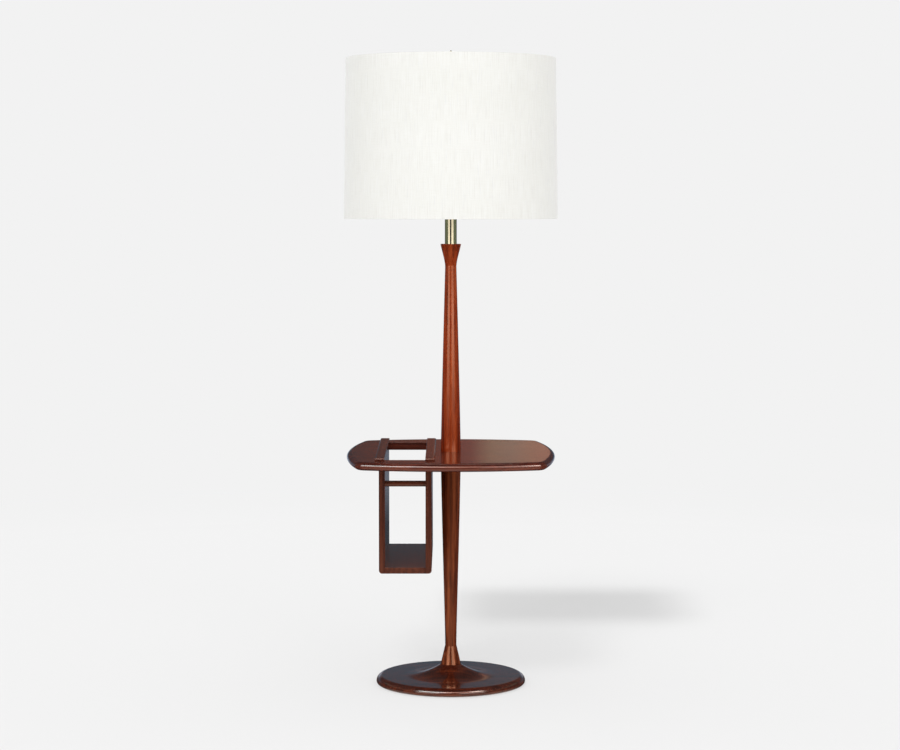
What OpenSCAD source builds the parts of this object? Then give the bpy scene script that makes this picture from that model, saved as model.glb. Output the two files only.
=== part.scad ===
// Floor lamp with a round foot, a turned wooden column, a small table with a
// hanging magazine rack, and a drum shade on a wire harp.
// Millimetres, +Z up. The origin is on the floor, on the column's axis.
// The lamp's front faces -Y, and the magazine rack hangs on the -X side.

/* [Foot] */
// Thickness of the felt under the foot
felt_t = 1.5; // [1:0.1:3]
// Distance from the foot's edge in to the felt's edge
felt_inset = 12; // [9:1:30]
// Radius of the round foot
foot_r = 161; // [145:1:185]
// Thickness of the foot's rounded rim
foot_rim_t = 17; // [15:0.5:20]
// Radius of the small rounding under the rim
foot_under_r = 4.5; // [3:0.1:6]
// Height of the turned foot, from its underside to the column's seat
foot_h = 40.3; // [36:0.1:48]
// Radius at which the bell shape runs out into the flat top
foot_bell_r = 100; // [85:1:115]
// Radius of the iron weight in the foot's underside
weight_r = 112; // [90:1:125]
// Thickness of the iron weight
weight_t = 9; // [8:0.5:11]
// Bore radius of the bushing that a supply cord would leave through
outlet_r = 3.5; // [3:0.1:4]
// Wall of that bushing
outlet_wall = 1.5; // [1:0.1:2]

/* [Column] */
// Length of the column under the table
lower_column_h = 446.4; // [380:1:500]
// Length of the column above the table
upper_column_h = 445; // [380:1:500]
// Radius of the column where it stands on the foot
column_foot_r = 21.8; // [19:0.1:26]
// Radius of the column at the waist above its foot
lower_waist_r = 12.2; // [11:0.1:16]
// Height of the flare at the column's foot
foot_flare_h = 41.2; // [35:0.1:60]
// Radius of the column at the table
swell_r = 21.7; // [17:0.1:26]
// Radius of the column at the waist under its top flare
upper_waist_r = 12.1; // [11:0.1:16]
// Height of the flare at the column's top
top_flare_h = 46.8; // [35:0.1:60]
// Radius of the column's top edge
flare_r = 22; // [17:0.1:26]
// Radius of the spigots that join the column to the foot and the table
spigot_r = 10; // [8.5:0.1:11]
// Length of each spigot
spigot_h = 8; // [5:0.5:8.5]
// Outer radius of the steel lamp pipe
pipe_r = 5; // [4.8:0.1:5.2]
// Bore radius of the lamp pipe
pipe_bore_r = 3.6; // [3:0.1:3.9]

/* [Table] */
// Thickness of the table's board
table_t = 17.4; // [17:0.1:22]
// Depth of the board's rounded edge, from its flat faces out to its nose
table_nose = 11; // [8:0.5:14]
// Half of the table's width from end to end, without its rounded edge
table_half_w = 212.2; // [200:1:240]
// Half of the table's depth from front to back, without its rounded edge
table_half_d = 247.4; // [235:1:280]
// Radius of the bulge of the two ends
end_bulge_r = 930; // [700:10:1200]
// Radius of the bow of the front and back
front_bow_r = 620; // [560:10:900]
// Radius of the corners, without the rounded edge
table_corner_r = 15; // [14:1:30]

/* [Magazine rack] */
// Distance from the column's axis to the middle of the rack
rack_offset = 95; // [92:1:105]
// Inside width of the rack
rack_inner_w = 84.6; // [70:0.1:90]
// Thickness of the rack's boards
rack_board_t = 12.7; // [10:0.1:14]
// Depth of the rack from front to back
rack_depth = 346; // [300:1:360]
// Distance that the rack hangs down from the table's top face
rack_drop = 239.7; // [200:1:300]
// Radius of the rounded edges along the rack's underside
rack_round_r = 6.5; // [3:0.5:8]
// Width of the rails that the rack hangs from
rail_w = 20; // [18:0.5:22]
// Height of the rails
rail_h = 7; // [6:0.5:10]
// Length of the rails
rail_len = 410; // [390:1:420]
// Radius of the round crossbars
bar_r = 6.2; // [5:0.1:8]
// Distance from the table's underside down to the middle of a crossbar
bar_drop = 35; // [20:1:80]
// Distance from the boards' front edges in to the middle of a crossbar
bar_inset = 18; // [12:1:40]
// Depth of the holes that the crossbars end in
bar_socket = 7; // [5:0.5:8]
// Radius of the dowel pins in the glued joints
pin_r = 3; // [2:0.1:4]
// Number of dowel pins in each glued joint
pin_count = 3; // [2:1:5]

/* [Neck] */
// Outer radius of the brass neck
neck_r = 12.7; // [11:0.1:14]
// Wall of the brass neck
neck_wall = 1; // [0.8:0.1:2]
// Length of the brass neck
neck_h = 152.4; // [120:0.1:200]
// Depth that the neck is let into the column's top
neck_seat = 4; // [2:0.5:8]

/* [Harp] */
// Height from the saddle up to the seat of the shade
harp_h = 224; // [215:1:260]
// Half of the harp's width
harp_half_w = 57; // [50:1:65]
// Radius of the harp's wire
harp_wire_r = 1.6; // [1.4:0.1:2]
// Distance between the two feet of the harp
harp_foot_w = 48; // [44:1:56]
// Thickness of the saddle under the lamp holder
saddle_t = 1.5; // [1:0.1:2]
// Width of the saddle's strip
saddle_w = 14; // [12:0.5:16]
// Length of the sleeves that lock the harp to the saddle
sleeve_h = 14; // [10:0.5:18]
// Radius of the threaded stud on top of the harp
stud_r = 3.2; // [2.5:0.1:3.5]

/* [Lamp holder] */
// Outer radius of the lamp holder's shell
holder_r = 16.2; // [16.1:0.1:18]
// Height of the lamp holder's shell
shell_h = 43; // [41:1:50]
// Height of the lamp holder's lower cap
cap_h = 22; // [21:1:26]
// Thickness of the lamp holder's brass
holder_wall = 0.7; // [0.5:0.1:0.8]
// Radius of the switch knob
knob_r = 5.5; // [4.5:0.1:7]
// Length of the switch knob
knob_len = 13; // [10:0.5:16]
// Number of grooves round the switch knob
knob_grooves = 10; // [6:1:16]
// Radius of the bulb's screw base
bulb_base_r = 13; // [12.8:0.1:13.1]
// Radius of the bulb's glass
bulb_r = 30; // [25:1:35]
// Length of the bulb from its contact to its tip
bulb_len = 108; // [100:1:125]

/* [Shade] */
// Radius of the shade at its lower edge
shade_bottom_r = 228.6; // [200:0.1:255]
// Radius of the shade at its upper edge
shade_top_r = 223.8; // [195:0.1:255]
// Height of the shade
shade_h = 339.3; // [280:1:380]
// Height of the shade's upper edge above its seat on the harp
shade_recess = 12.9; // [9:0.1:20]
// Thickness of the shade's linen
fabric_t = 0.6; // [0.4:0.1:1]
// Thickness of the stiff lining behind the linen
liner_t = 0.8; // [0.5:0.1:1.2]
// Radius of the shade's frame wire
frame_wire_r = 1.6; // [1.2:0.1:2]
// Number of arms that carry the shade
arm_count = 3; // [3:1:4]
// Height of the finial
finial_h = 28.3; // [22:0.1:40]
// Radius of the finial's ball
finial_r = 7; // [6:0.1:10]

/* [Hidden] */
$fn = 96;

// Clearances
glue_gap = 0.05;    // between glued or pressed faces
run_gap = 0.08;     // radial gap of a turning fit
seat_gap = 0.1;     // between flat faces that turn on each other
bore_gap = 0.3;     // round what passes through or is let into the wood or the iron
slot_gap_x = 1.5;   // between the rack's sides and the table's slot
slot_gap_y = 8;     // between the rack's ends and the table's slot
eps = 0.01;         // how far a cut runs past the face that it opens
curve_steps = 16;   // straight steps in one freely curved outline
arc_steps = 12;     // straight steps in one round outline
bend_step = 12;     // largest angle of one straight step round a wire's bend

// Heights of the stack, from the floor up
foot_z = felt_t;
foot_top_z = foot_z + foot_h;
table_z = foot_top_z + lower_column_h;
table_top_z = table_z + table_t;
column_top_z = table_top_z + upper_column_h;
neck_z = column_top_z - neck_seat;
neck_top_z = neck_z + neck_h;
neck_cap_t = 4;
nut_t = 3;
nut_r = 8;
saddle_z = neck_top_z + neck_cap_t + nut_t;
holder_z = saddle_z + saddle_t;
seat_z = holder_z + harp_h;
shade_top_z = seat_z + shade_recess;
shade_z = shade_top_z - shade_h;

// Foot
foot_shoulder_r = foot_rim_t - foot_under_r; // radius of the large rounding over the rim's widest line
foot_wide_z = foot_z + foot_under_r;         // height of that line
foot_flat_z = foot_z + foot_rim_t;
weight_gap = 0.5;
washer_r = 16;
washer_t = 2;
nut_recess = 6;                          // depth of the recess for washer and nut
washer_z = foot_z + nut_recess - washer_t;
pipe_bottom_z = foot_z + 0.5;
outlet_len = 14;
outlet_z = foot_z + 7.5;
outlet_seat = 4.5;                       // depth of the flat seat milled in the rim
outlet_y = foot_r - outlet_seat;
bushing_r = outlet_r + outlet_wall;
bushing_flange_r = bushing_r + 1.5;
bushing_flange_t = 1.5;

// Column and pipe
bore_r = pipe_r + bore_gap;
socket_hub_h = 8;
pipe_top_z = holder_z + socket_hub_h;

// Table
table_mid_z = table_z + table_t / 2;
end_centre = table_half_w - end_bulge_r; // x of the centre of the right end's arc
bow_centre = table_half_d - front_bow_r; // y of the centre of the back's arc

// Where the corner's arc touches both long arcs: a circle that lies inside both
corner_a = end_bulge_r - table_corner_r;
corner_b = front_bow_r - table_corner_r;
centre_gap = norm([end_centre, bow_centre]);
corner_along = (corner_a * corner_a - corner_b * corner_b + centre_gap * centre_gap) / (2 * centre_gap);
corner_across = sqrt(corner_a * corner_a - corner_along * corner_along);
along = [-end_centre, bow_centre] / centre_gap;
across = [-along.y, along.x];
corner = [end_centre, 0] + corner_along * along + corner_across * across;
end_angle = atan2(corner.y, corner.x - end_centre);
bow_angle = atan2(corner.y - bow_centre, corner.x);

// Magazine rack
rack_x = -rack_offset;
rack_outer_w = rack_inner_w + 2 * rack_board_t;
rack_z = table_top_z - rack_drop;
slot_w = rack_outer_w + 2 * slot_gap_x;
slot_d = rack_depth + 2 * slot_gap_y;
slot_corner_r = 3;
board_edge_r = 1.5;
rail_edge_r = rail_h / 2;
bar_y = rack_depth / 2 - bar_inset;
bar_z = table_z - bar_drop;
pin_hole_r = pin_r + glue_gap;
rail_pin_up = 4;        // depth of a rail's pin holes
rail_pin_down = 16;     // depth of the pin holes in a board's top edge
floor_pin_out = 9;      // depth of a board's side pin holes
floor_pin_in = 15;      // depth of the pin holes in the floor's ends
pin_short = 0.5;        // how much shorter a pin is than its two holes
pin_pitch = rack_depth * 0.7 / (pin_count - 1);

// Harp
stud_plate_t = 1.5;
stud_plate_r = 8;
stud_boss_r = 4.5;
stud_boss_h = 3;        // how far the stud's boss reaches below the wire's axis
stud_h = 14;            // height of the stud above its plate
collar_r = 5.5;         // the collar that the shade's washer turns on
collar_h = 1.2;
harp_top_z = seat_z - stud_plate_t - harp_wire_r;
sleeve_wall = 0.7;
sleeve_gap = 1;         // between the sleeves and the saddle
tab_t = 1;
tab_w = 3.6;
tab_h = 18;
wire_off = 0.75;        // the wire's axis from the sleeve's axis, towards the outside
tab_off = wire_off - harp_wire_r - glue_gap - tab_t;
sleeve_bore_r = wire_off + harp_wire_r + 0.35;
harp_foot_z = holder_z + 2;
harp_lean = 50;         // how far the harp's arms lean out near their feet
harp_out_r = 12;
harp_back_r = 30;
harp_shoulder_r = 48;
harp_bend_w = (harp_out_r + harp_back_r) * (1 - cos(harp_lean));
harp_bend_h = (harp_out_r + harp_back_r) * sin(harp_lean);
harp_slant = (harp_half_w - harp_foot_w / 2 - wire_off - harp_bend_w) / sin(harp_lean);
harp_straight = 20;
harp_bent_h = harp_bend_h + harp_slant * cos(harp_lean);
harp_side = harp_top_z - harp_foot_z - harp_straight - harp_bent_h - harp_shoulder_r;

// Lamp holder and bulb
hub_r = 8;
cap_lip_h = 6;
cap_gap = 0.2;          // between the cap and the shell that snaps into it
shell_in = 5;           // how deep the shell sits in the cap
cap_r = holder_r + cap_gap + holder_wall;
shell_z = holder_z + cap_h - shell_in;
shell_top_z = shell_z + shell_h;
liner_wall = 0.8;
liner_gap = 0.1;        // between the shell and its insulating sleeve
core_gap = 0.2;         // between the sleeve and the moulded body
liner_r = holder_r - holder_wall - liner_gap;
core_r = liner_r - liner_wall - core_gap;
core_h = 18;
core_top_z = shell_z + core_h;
thread_wall = 0.4;
thread_r = core_r - core_gap;
thread_h = shell_h - core_h - 3;    // ends 3 below the shell's mouth
stem_r = 2;
stem_z = shell_z + core_h / 2;
stem_in = 6;            // how far from the axis the stem starts
knob_off = 4;           // between the lamp holder and the knob
stem_in_knob = 8;
knob_start = cap_r + knob_off;
stem_end = knob_start + stem_in_knob;
button_h = 2;
bulb_z = core_top_z + seat_gap;
bulb_base_h = 25;
bulb_base_wall = 0.5;
bulb_base_top_z = bulb_z + button_h + bulb_base_h;
glass_t = 0.8;
glass_r = bulb_base_r - bulb_base_wall - glue_gap;
glass_in = 5;           // how deep the glass sits in the screw base
glass_z = bulb_base_top_z - glass_in;
bulb_centre_z = bulb_z + bulb_len - bulb_r;
bulb_join = 35;         // angle under the glass ball's equator where its neck starts

// Shade
fabric_in = fabric_t + glue_gap;
frame_in = fabric_in + liner_t + glue_gap + frame_wire_r;
ring_gap = 0.1;         // between the lining and the frame's rings
spider_z = seat_z + seat_gap;
spider_washer_r = 15;
spider_washer_t = 1.5;
spider_mid_z = spider_z + spider_washer_t / 2;
top_ring_r = shade_top_r - frame_in - ring_gap;
bottom_ring_r = shade_bottom_r - frame_in - ring_gap;
top_ring_z = shade_top_z - frame_wire_r;
arm_start = spider_washer_r - 3;
arm_wire_r = frame_wire_r - 0.2;
arm_run = top_ring_r - arm_start;
arm_rise = top_ring_z - spider_mid_z;
finial_z = spider_z + spider_washer_t + seat_gap;

// Points along an arc, from one angle to another
function arc_points(centre, r, from, to, steps = arc_steps) =
    [for (i = [0:steps]) let (a = from + (to - from) * i / steps) centre + r * [cos(a), sin(a)]];

// Points along a cubic curve with two end points and two control points
function curve_points(a, b, c, d, steps = curve_steps) = [
    for (i = [0:steps])
        let (t = i / steps, s = 1 - t)
            s * s * s * a + 3 * s * s * t * b + 3 * s * t * t * c + t * t * t * d
];

// Points of an outline without its first point, to follow another outline
function rest_of(points) = [for (i = [1:len(points) - 1]) points[i]];

// Rectangle with round corners, in the middle of the plane
module round_rect(w, d, r) {
    square([w - 2 * r, d], center = true);
    square([w, d - 2 * r], center = true);
    for (x = [-1, 1], y = [-1, 1])
        translate([x * (w / 2 - r), y * (d / 2 - r)]) circle(r = r);
}

// Straight round tube
module tube(r, bore, h) {
    difference() {
        cylinder(r = r, h = h);
        translate([0, 0, -eps]) cylinder(r = bore, h = h + 2 * eps);
    }
}

// Hexagon nut with a plain bore
module hex_nut(r, bore, h) {
    difference() {
        cylinder(r = r, h = h, $fn = 6);
        translate([0, 0, -eps]) cylinder(r = bore, h = h + 2 * eps);
    }
}

// Points of a route in the XZ plane as [x, z, heading]. The heading is the
// angle from +Z towards +X. A step is the length of a straight run, or the
// radius and angle of a bend.
function route(steps, x, z, heading, i = 0) =
    i == len(steps) ? [] :
    let (step = steps[i])
    len(step) == 1 ?
        let (next_x = x + step[0] * sin(heading), next_z = z + step[0] * cos(heading))
        concat([[next_x, next_z, heading]], route(steps, next_x, next_z, heading, i + 1)) :
        let (
            r = sign(step[1]) * step[0],
            centre = [x + r * cos(heading), z - r * sin(heading)],
            count = ceil(abs(step[1]) / bend_step),
            bend = [
                for (k = [1:count])
                    let (h = heading + step[1] * k / count)
                        [centre.x - r * cos(h), centre.y + r * sin(h), h]
            ],
            last = bend[count - 1]
        )
        concat(bend, route(steps, last.x, last.y, last.z, i + 1));

// Ring of points round a route in the XZ plane
function route_ring(point, r, sides) = [
    for (k = [0:sides - 1])
        let (a = 360 * k / sides)
            [point.x + r * cos(a) * cos(point.z), r * sin(a), point.y - r * cos(a) * sin(point.z)]
];

// Closed skin over a row of rings with the same number of points
module skin(rings) {
    sides = len(rings[0]);
    last = len(rings) - 1;
    polyhedron(
        points = [for (ring = rings, point = ring) point],
        faces = concat(
            [[for (k = [0:sides - 1]) k]],
            [
                for (i = [0:last - 1], k = [0:sides - 1])
                    let (next = (k + 1) % sides)
                        [i * sides + k, (i + 1) * sides + k, (i + 1) * sides + next, i * sides + next]
            ],
            [[for (k = [0:sides - 1]) last * sides + sides - 1 - k]]
        )
    );
}

// Foot -----------------------------------------------------------------

module felt_pad() {
    color("dimgray")
        cylinder(r = foot_r - felt_inset, h = felt_t);
}

// The rim is a small arc below its widest line and a large one above it. The
// bell is an arc that touches the flat top and meets the column's edge.
module base_disc() {
    under_centre = [foot_r - foot_under_r, foot_wide_z];
    shoulder_centre = [foot_r - foot_shoulder_r, foot_wide_z];
    rise = foot_h - foot_rim_t;
    run = foot_bell_r - column_foot_r;
    bell_arc_r = (run * run + rise * rise) / (2 * rise);
    bell_centre = [foot_bell_r, foot_flat_z + bell_arc_r];
    bell_angle = asin(run / bell_arc_r);
    bell = arc_points(bell_centre, bell_arc_r, -90, -90 - bell_angle, curve_steps);
    color("saddlebrown")
        difference() {
            rotate_extrude() polygon(concat(
                [[0, foot_z]],
                arc_points(under_centre, foot_under_r, -90, 0),
                rest_of(arc_points(shoulder_centre, foot_shoulder_r, 0, 90)),
                bell,
                [[0, foot_top_z]]
            ));
            translate([0, 0, foot_z - eps]) cylinder(r = weight_r + weight_gap, h = weight_t + eps);
            translate([0, 0, foot_z]) cylinder(r = bore_r, h = foot_h + eps);
            translate([0, 0, foot_top_z - spigot_h - bore_gap])
                cylinder(r = spigot_r + glue_gap, h = spigot_h + bore_gap + eps);
            translate([0, 0, outlet_z]) rotate([-90, 0, 0])
                cylinder(r = bushing_r + glue_gap, h = foot_r + eps);
            translate([0, outlet_y, outlet_z]) rotate([-90, 0, 0])
                cylinder(r = bushing_flange_r + bore_gap, h = outlet_seat + eps);
        }
}

module base_weight() {
    color("darkslategray")
        difference() {
            translate([0, 0, foot_z]) cylinder(r = weight_r, h = weight_t);
            translate([0, 0, foot_z - eps]) cylinder(r = bore_r, h = weight_t + 2 * eps);
            translate([0, 0, foot_z - eps]) cylinder(r = washer_r + bore_gap, h = nut_recess + eps);
            translate([-bushing_r, 0, foot_z - eps])
                cube([2 * bushing_r, weight_r + eps, weight_t + 2 * eps]);
        }
}

module base_washer() {
    color("silver")
        translate([0, 0, washer_z]) tube(washer_r, pipe_r + glue_gap, washer_t);
}

module base_nut() {
    color("silver")
        translate([0, 0, washer_z - nut_t]) hex_nut(nut_r, pipe_r + glue_gap, nut_t);
}

// Plastic bushing in the foot's back, its collar on a flat seat milled in the rim
module cord_bushing() {
    color("black")
        translate([0, outlet_y, outlet_z])
        rotate([90, 0, 0])
        difference() {
            union() {
                cylinder(r = bushing_r, h = outlet_len);
                translate([0, 0, -bushing_flange_t]) cylinder(r = bushing_flange_r, h = bushing_flange_t);
            }
            translate([0, 0, -bushing_flange_t - eps])
                cylinder(r = outlet_r, h = outlet_len + bushing_flange_t + 2 * eps);
        }
}

// Column ---------------------------------------------------------------

// Turned from one piece: a plain cone up to a sharp waist, and a shaft that
// swells slowly towards the table
module lower_column() {
    waist_z = foot_top_z + foot_flare_h;
    shaft = curve_points(
        [lower_waist_r, waist_z],
        [lower_waist_r, waist_z + (table_z - waist_z) * 0.1],
        [swell_r - (swell_r - lower_waist_r) * 0.42, table_z - (table_z - waist_z) * 0.5],
        [swell_r, table_z]
    );
    cone = [[0, foot_top_z], [column_foot_r, foot_top_z]];
    color("saddlebrown")
        difference() {
            union() {
                rotate_extrude() polygon(concat(cone, shaft, [[0, table_z]]));
                translate([0, 0, foot_top_z - spigot_h]) cylinder(r = spigot_r, h = spigot_h + eps);
                translate([0, 0, table_z - eps]) cylinder(r = spigot_r, h = spigot_h + eps);
            }
            translate([0, 0, foot_z]) cylinder(r = bore_r, h = table_top_z);
        }
}

// The mirror of the lower column, up to a flared top with a sharp edge
module upper_column() {
    waist_z = column_top_z - top_flare_h;
    shaft = curve_points(
        [swell_r, table_top_z],
        [swell_r - (swell_r - upper_waist_r) * 0.42, table_top_z + (waist_z - table_top_z) * 0.5],
        [upper_waist_r, waist_z - (waist_z - table_top_z) * 0.02],
        [upper_waist_r, waist_z]
    );
    flare = curve_points(
        [upper_waist_r, waist_z],
        [upper_waist_r + (flare_r - upper_waist_r) * 0.15, waist_z + top_flare_h * 0.35],
        [flare_r - (flare_r - upper_waist_r) * 0.35, column_top_z - top_flare_h * 0.38],
        [flare_r, column_top_z]
    );
    color("saddlebrown")
        difference() {
            union() {
                rotate_extrude()
                    polygon(concat([[0, table_top_z]], shaft, rest_of(flare), [[0, column_top_z]]));
                translate([0, 0, table_top_z - spigot_h]) cylinder(r = spigot_r, h = spigot_h + eps);
            }
            translate([0, 0, table_z]) cylinder(r = bore_r, h = column_top_z);
            translate([0, 0, neck_z]) cylinder(r = neck_r + glue_gap, h = neck_seat + eps);
        }
}

// One steel pipe from the nut under the foot to the lamp holder
module lamp_pipe() {
    color("silver")
        translate([0, 0, pipe_bottom_z]) tube(pipe_r, pipe_bore_r, pipe_top_z - pipe_bottom_z);
}

// Table ----------------------------------------------------------------

// Quarter of the board's outline, drawn out from the edge of its flat faces:
// half an end, a corner and half the back, as three arcs that touch
function quarter_outline(out) =
    concat(
        arc_points([end_centre, 0], end_bulge_r + out, 0, end_angle, 6),
        rest_of(arc_points(corner, table_corner_r + out, end_angle, bow_angle, 7)),
        rest_of(arc_points([0, bow_centre], front_bow_r + out, bow_angle, 90, 6))
    );

// The whole outline, round from the right end
function board_outline(out) =
    let (quarter = quarter_outline(out), last = len(quarter) - 1)
    concat(
        quarter,
        [for (i = [1:last]) [-quarter[last - i].x, quarter[last - i].y]],
        [for (i = [1:last]) [-quarter[i].x, -quarter[i].y]],
        [for (i = [1:last - 1]) [quarter[last - i].x, -quarter[last - i].y]]
    );

// One board with a bull nose, half an ellipse, all the way along its outline
module table_top() {
    edge_steps = 10;
    rings = [
        for (i = [0:edge_steps])
            let (a = 90 - 180 * i / edge_steps, z = table_mid_z + table_t / 2 * sin(a))
                [for (point = board_outline(table_nose * cos(a))) [point.x, point.y, z]]
    ];
    color("sienna")
        difference() {
            skin(rings);
            translate([0, 0, table_z - eps]) cylinder(r = spigot_r + glue_gap, h = table_t + 2 * eps);
            translate([rack_x, 0, table_z - eps]) linear_extrude(table_t + 2 * eps)
                round_rect(slot_w, slot_d, slot_corner_r);
        }
}

// Magazine rack --------------------------------------------------------

// Places of the dowel pins along a joint
function pin_places() = [for (i = [0:pin_count - 1]) (i - (pin_count - 1) / 2) * pin_pitch];

// Left side: an upright board with its lower outer edge rounded
module side_board() {
    outer_x = -rack_outer_w / 2;
    inner_x = -rack_inner_w / 2;
    difference() {
        intersection() {
            rotate([90, 0, 0]) translate([0, 0, -rack_depth / 2]) linear_extrude(rack_depth) {
                translate([outer_x + rack_round_r, rack_z])
                    square([rack_board_t - rack_round_r, rack_drop]);
                translate([outer_x, rack_z + rack_round_r])
                    square([rack_board_t, rack_drop - rack_round_r]);
                translate([outer_x + rack_round_r, rack_z + rack_round_r]) circle(r = rack_round_r);
            }
            translate([(outer_x + inner_x) / 2, 0, rack_z]) linear_extrude(rack_drop)
                round_rect(rack_board_t, rack_depth, board_edge_r);
        }
        for (y = [-bar_y, bar_y])
            translate([inner_x - bar_socket, y, bar_z]) rotate([0, 90, 0])
            cylinder(r = bar_r + glue_gap, h = bar_socket + eps);
        for (y = pin_places()) {
            translate([(outer_x + inner_x) / 2, y, table_top_z - rail_pin_down])
                cylinder(r = pin_hole_r, h = rail_pin_down + eps);
            translate([inner_x - floor_pin_out, y, rack_z + rack_board_t / 2]) rotate([0, 90, 0])
                cylinder(r = pin_hole_r, h = floor_pin_out + eps);
        }
    }
}

// Left rail: flush with the board's inner face. Its outer edge and its ends are
// round, and its inner edge is cut square through the section.
module side_rail() {
    inner_x = -rack_inner_w / 2;
    pin_x = inner_x - rack_board_t / 2;
    difference() {
        intersection() {
            rotate([90, 0, 0]) translate([0, 0, -rail_len / 2]) linear_extrude(rail_len)
                rail_section(inner_x - rail_w, rail_w + rail_edge_r);
            rotate([90, 0, 90]) translate([0, 0, inner_x - rail_w]) linear_extrude(rail_w)
                rail_section(-rail_len / 2, rail_len);
        }
        for (y = pin_places())
            translate([pin_x, y, table_top_z - eps]) cylinder(r = pin_hole_r, h = rail_pin_up + eps);
    }
}

// Flat strip on the table's top, with both of its upper edges rounded
module rail_section(x, w) {
    translate([x, table_top_z]) square([w, rail_h - rail_edge_r]);
    translate([x + rail_edge_r, table_top_z]) square([w - 2 * rail_edge_r, rail_h]);
    for (c = [x + rail_edge_r, x + w - rail_edge_r])
        translate([c, table_top_z + rail_h - rail_edge_r]) circle(r = rail_edge_r);
}

module rack_left_board() {
    color("sienna") translate([rack_x, 0, 0]) side_board();
}

module rack_right_board() {
    color("sienna") translate([rack_x, 0, 0]) mirror([1, 0, 0]) side_board();
}

module rack_floor() {
    color("peru")
        difference() {
            translate([rack_x - rack_inner_w / 2, -rack_depth / 2, rack_z])
                cube([rack_inner_w, rack_depth, rack_board_t]);
            for (side = [0, 1], y = pin_places())
                translate([rack_x, 0, 0]) mirror([side, 0, 0])
                translate([rack_inner_w / 2 - floor_pin_in, y, rack_z + rack_board_t / 2])
                rotate([0, 90, 0]) cylinder(r = pin_hole_r, h = floor_pin_in + eps);
        }
}

// Round bar between the boards, its ends in blind holes
module crossbar(y) {
    length = rack_inner_w + 2 * bar_socket - pin_short;
    translate([rack_x - length / 2, y, bar_z]) rotate([0, 90, 0]) cylinder(r = bar_r, h = length);
}

module rack_front_bar() {
    color("sienna") crossbar(-bar_y);
}

module rack_back_bar() {
    color("sienna") crossbar(bar_y);
}

module rack_left_rail() {
    color("maroon") translate([rack_x, 0, 0]) side_rail();
}

module rack_right_rail() {
    color("maroon") translate([rack_x, 0, 0]) mirror([1, 0, 0]) side_rail();
}

module rack_pins() {
    inner_x = rack_inner_w / 2;
    floor_pin = floor_pin_out + floor_pin_in - pin_short;
    rail_pin = rail_pin_up + rail_pin_down - pin_short;
    color("burlywood")
        translate([rack_x, 0, 0])
        for (side = [0, 1], y = pin_places())
            mirror([side, 0, 0]) {
                translate([inner_x - floor_pin_in + pin_short / 2, y, rack_z + rack_board_t / 2])
                    rotate([0, 90, 0]) cylinder(r = pin_r, h = floor_pin);
                translate([inner_x + rack_board_t / 2, y, table_top_z - rail_pin_down + pin_short / 2])
                    cylinder(r = pin_r, h = rail_pin);
            }
}

// Neck -----------------------------------------------------------------

module neck_tube() {
    color("goldenrod")
        translate([0, 0, neck_z]) tube(neck_r, neck_r - neck_wall, neck_h);
}

// Turned cap with a plug that centres the pipe in the tube
module neck_cap() {
    cap_over = 0.8;
    plug_h = 6;
    color("goldenrod")
        difference() {
            union() {
                translate([0, 0, neck_top_z]) cylinder(r = neck_r + cap_over, h = neck_cap_t);
                translate([0, 0, neck_top_z - plug_h])
                    cylinder(r = neck_r - neck_wall - glue_gap, h = plug_h + eps);
            }
            translate([0, 0, neck_top_z - plug_h - eps])
                cylinder(r = pipe_r + glue_gap, h = plug_h + neck_cap_t + 2 * eps);
        }
}

module neck_nut() {
    color("silver")
        translate([0, 0, neck_top_z + neck_cap_t]) hex_nut(nut_r, pipe_r + glue_gap, nut_t);
}

// Harp -----------------------------------------------------------------

// Steel strip with an upright tab at each end
module harp_saddle() {
    tab_x = harp_foot_w / 2 + tab_off;
    end_x = tab_x + tab_t;
    color("goldenrod")
        difference() {
            union() {
                translate([-end_x, -saddle_w / 2, saddle_z]) cube([2 * end_x, saddle_w, saddle_t]);
                for (side = [0, 1])
                    mirror([side, 0, 0])
                    translate([tab_x, -tab_w / 2, saddle_z]) cube([tab_t, tab_w, saddle_t + tab_h]);
            }
            translate([0, 0, saddle_z - eps]) cylinder(r = pipe_r + glue_gap, h = saddle_t + 2 * eps);
        }
}

// One wire, bent out from its feet, straight up and round at the top
module harp_wire() {
    half = [
        [harp_straight],
        [harp_out_r, harp_lean],
        [harp_slant],
        [harp_back_r, -harp_lean],
        [harp_side],
        [harp_shoulder_r, -90],
        [harp_half_w - harp_shoulder_r]
    ];
    start = [harp_foot_w / 2 + wire_off, harp_foot_z, 0];
    right = concat([start], route(half, start.x, start.y, 0));
    last = len(right) - 1;
    left = [for (i = [1:last]) [-right[last - i].x, right[last - i].y, 180 - right[last - i].z]];
    color("goldenrod") skin([for (point = concat(right, left)) route_ring(point, harp_wire_r, 12)]);
}

// Sleeves that slide down over the tabs and the wire's feet
module harp_sleeves() {
    color("goldenrod")
        for (side = [-1, 1])
            translate([side * harp_foot_w / 2, 0, holder_z + sleeve_gap])
            tube(sleeve_bore_r + sleeve_wall, sleeve_bore_r, sleeve_h);
}

// Threaded stud with the plate that the shade sits on, clinched on the wire
module harp_stud() {
    plate_z = seat_z - stud_plate_t;
    color("goldenrod")
        difference() {
            union() {
                translate([0, 0, harp_top_z - stud_boss_h])
                    cylinder(r = stud_boss_r, h = plate_z - harp_top_z + stud_boss_h + eps);
                translate([0, 0, plate_z]) cylinder(r = stud_plate_r, h = stud_plate_t);
                translate([0, 0, seat_z - eps]) cylinder(r = collar_r, h = collar_h + eps);
                translate([0, 0, seat_z]) cylinder(r = stud_r, h = stud_h);
            }
            translate([-stud_boss_r - eps, 0, harp_top_z]) rotate([0, 90, 0])
                cylinder(r = harp_wire_r + glue_gap, h = 2 * (stud_boss_r + eps));
        }
}

// Lamp holder ----------------------------------------------------------

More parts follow.
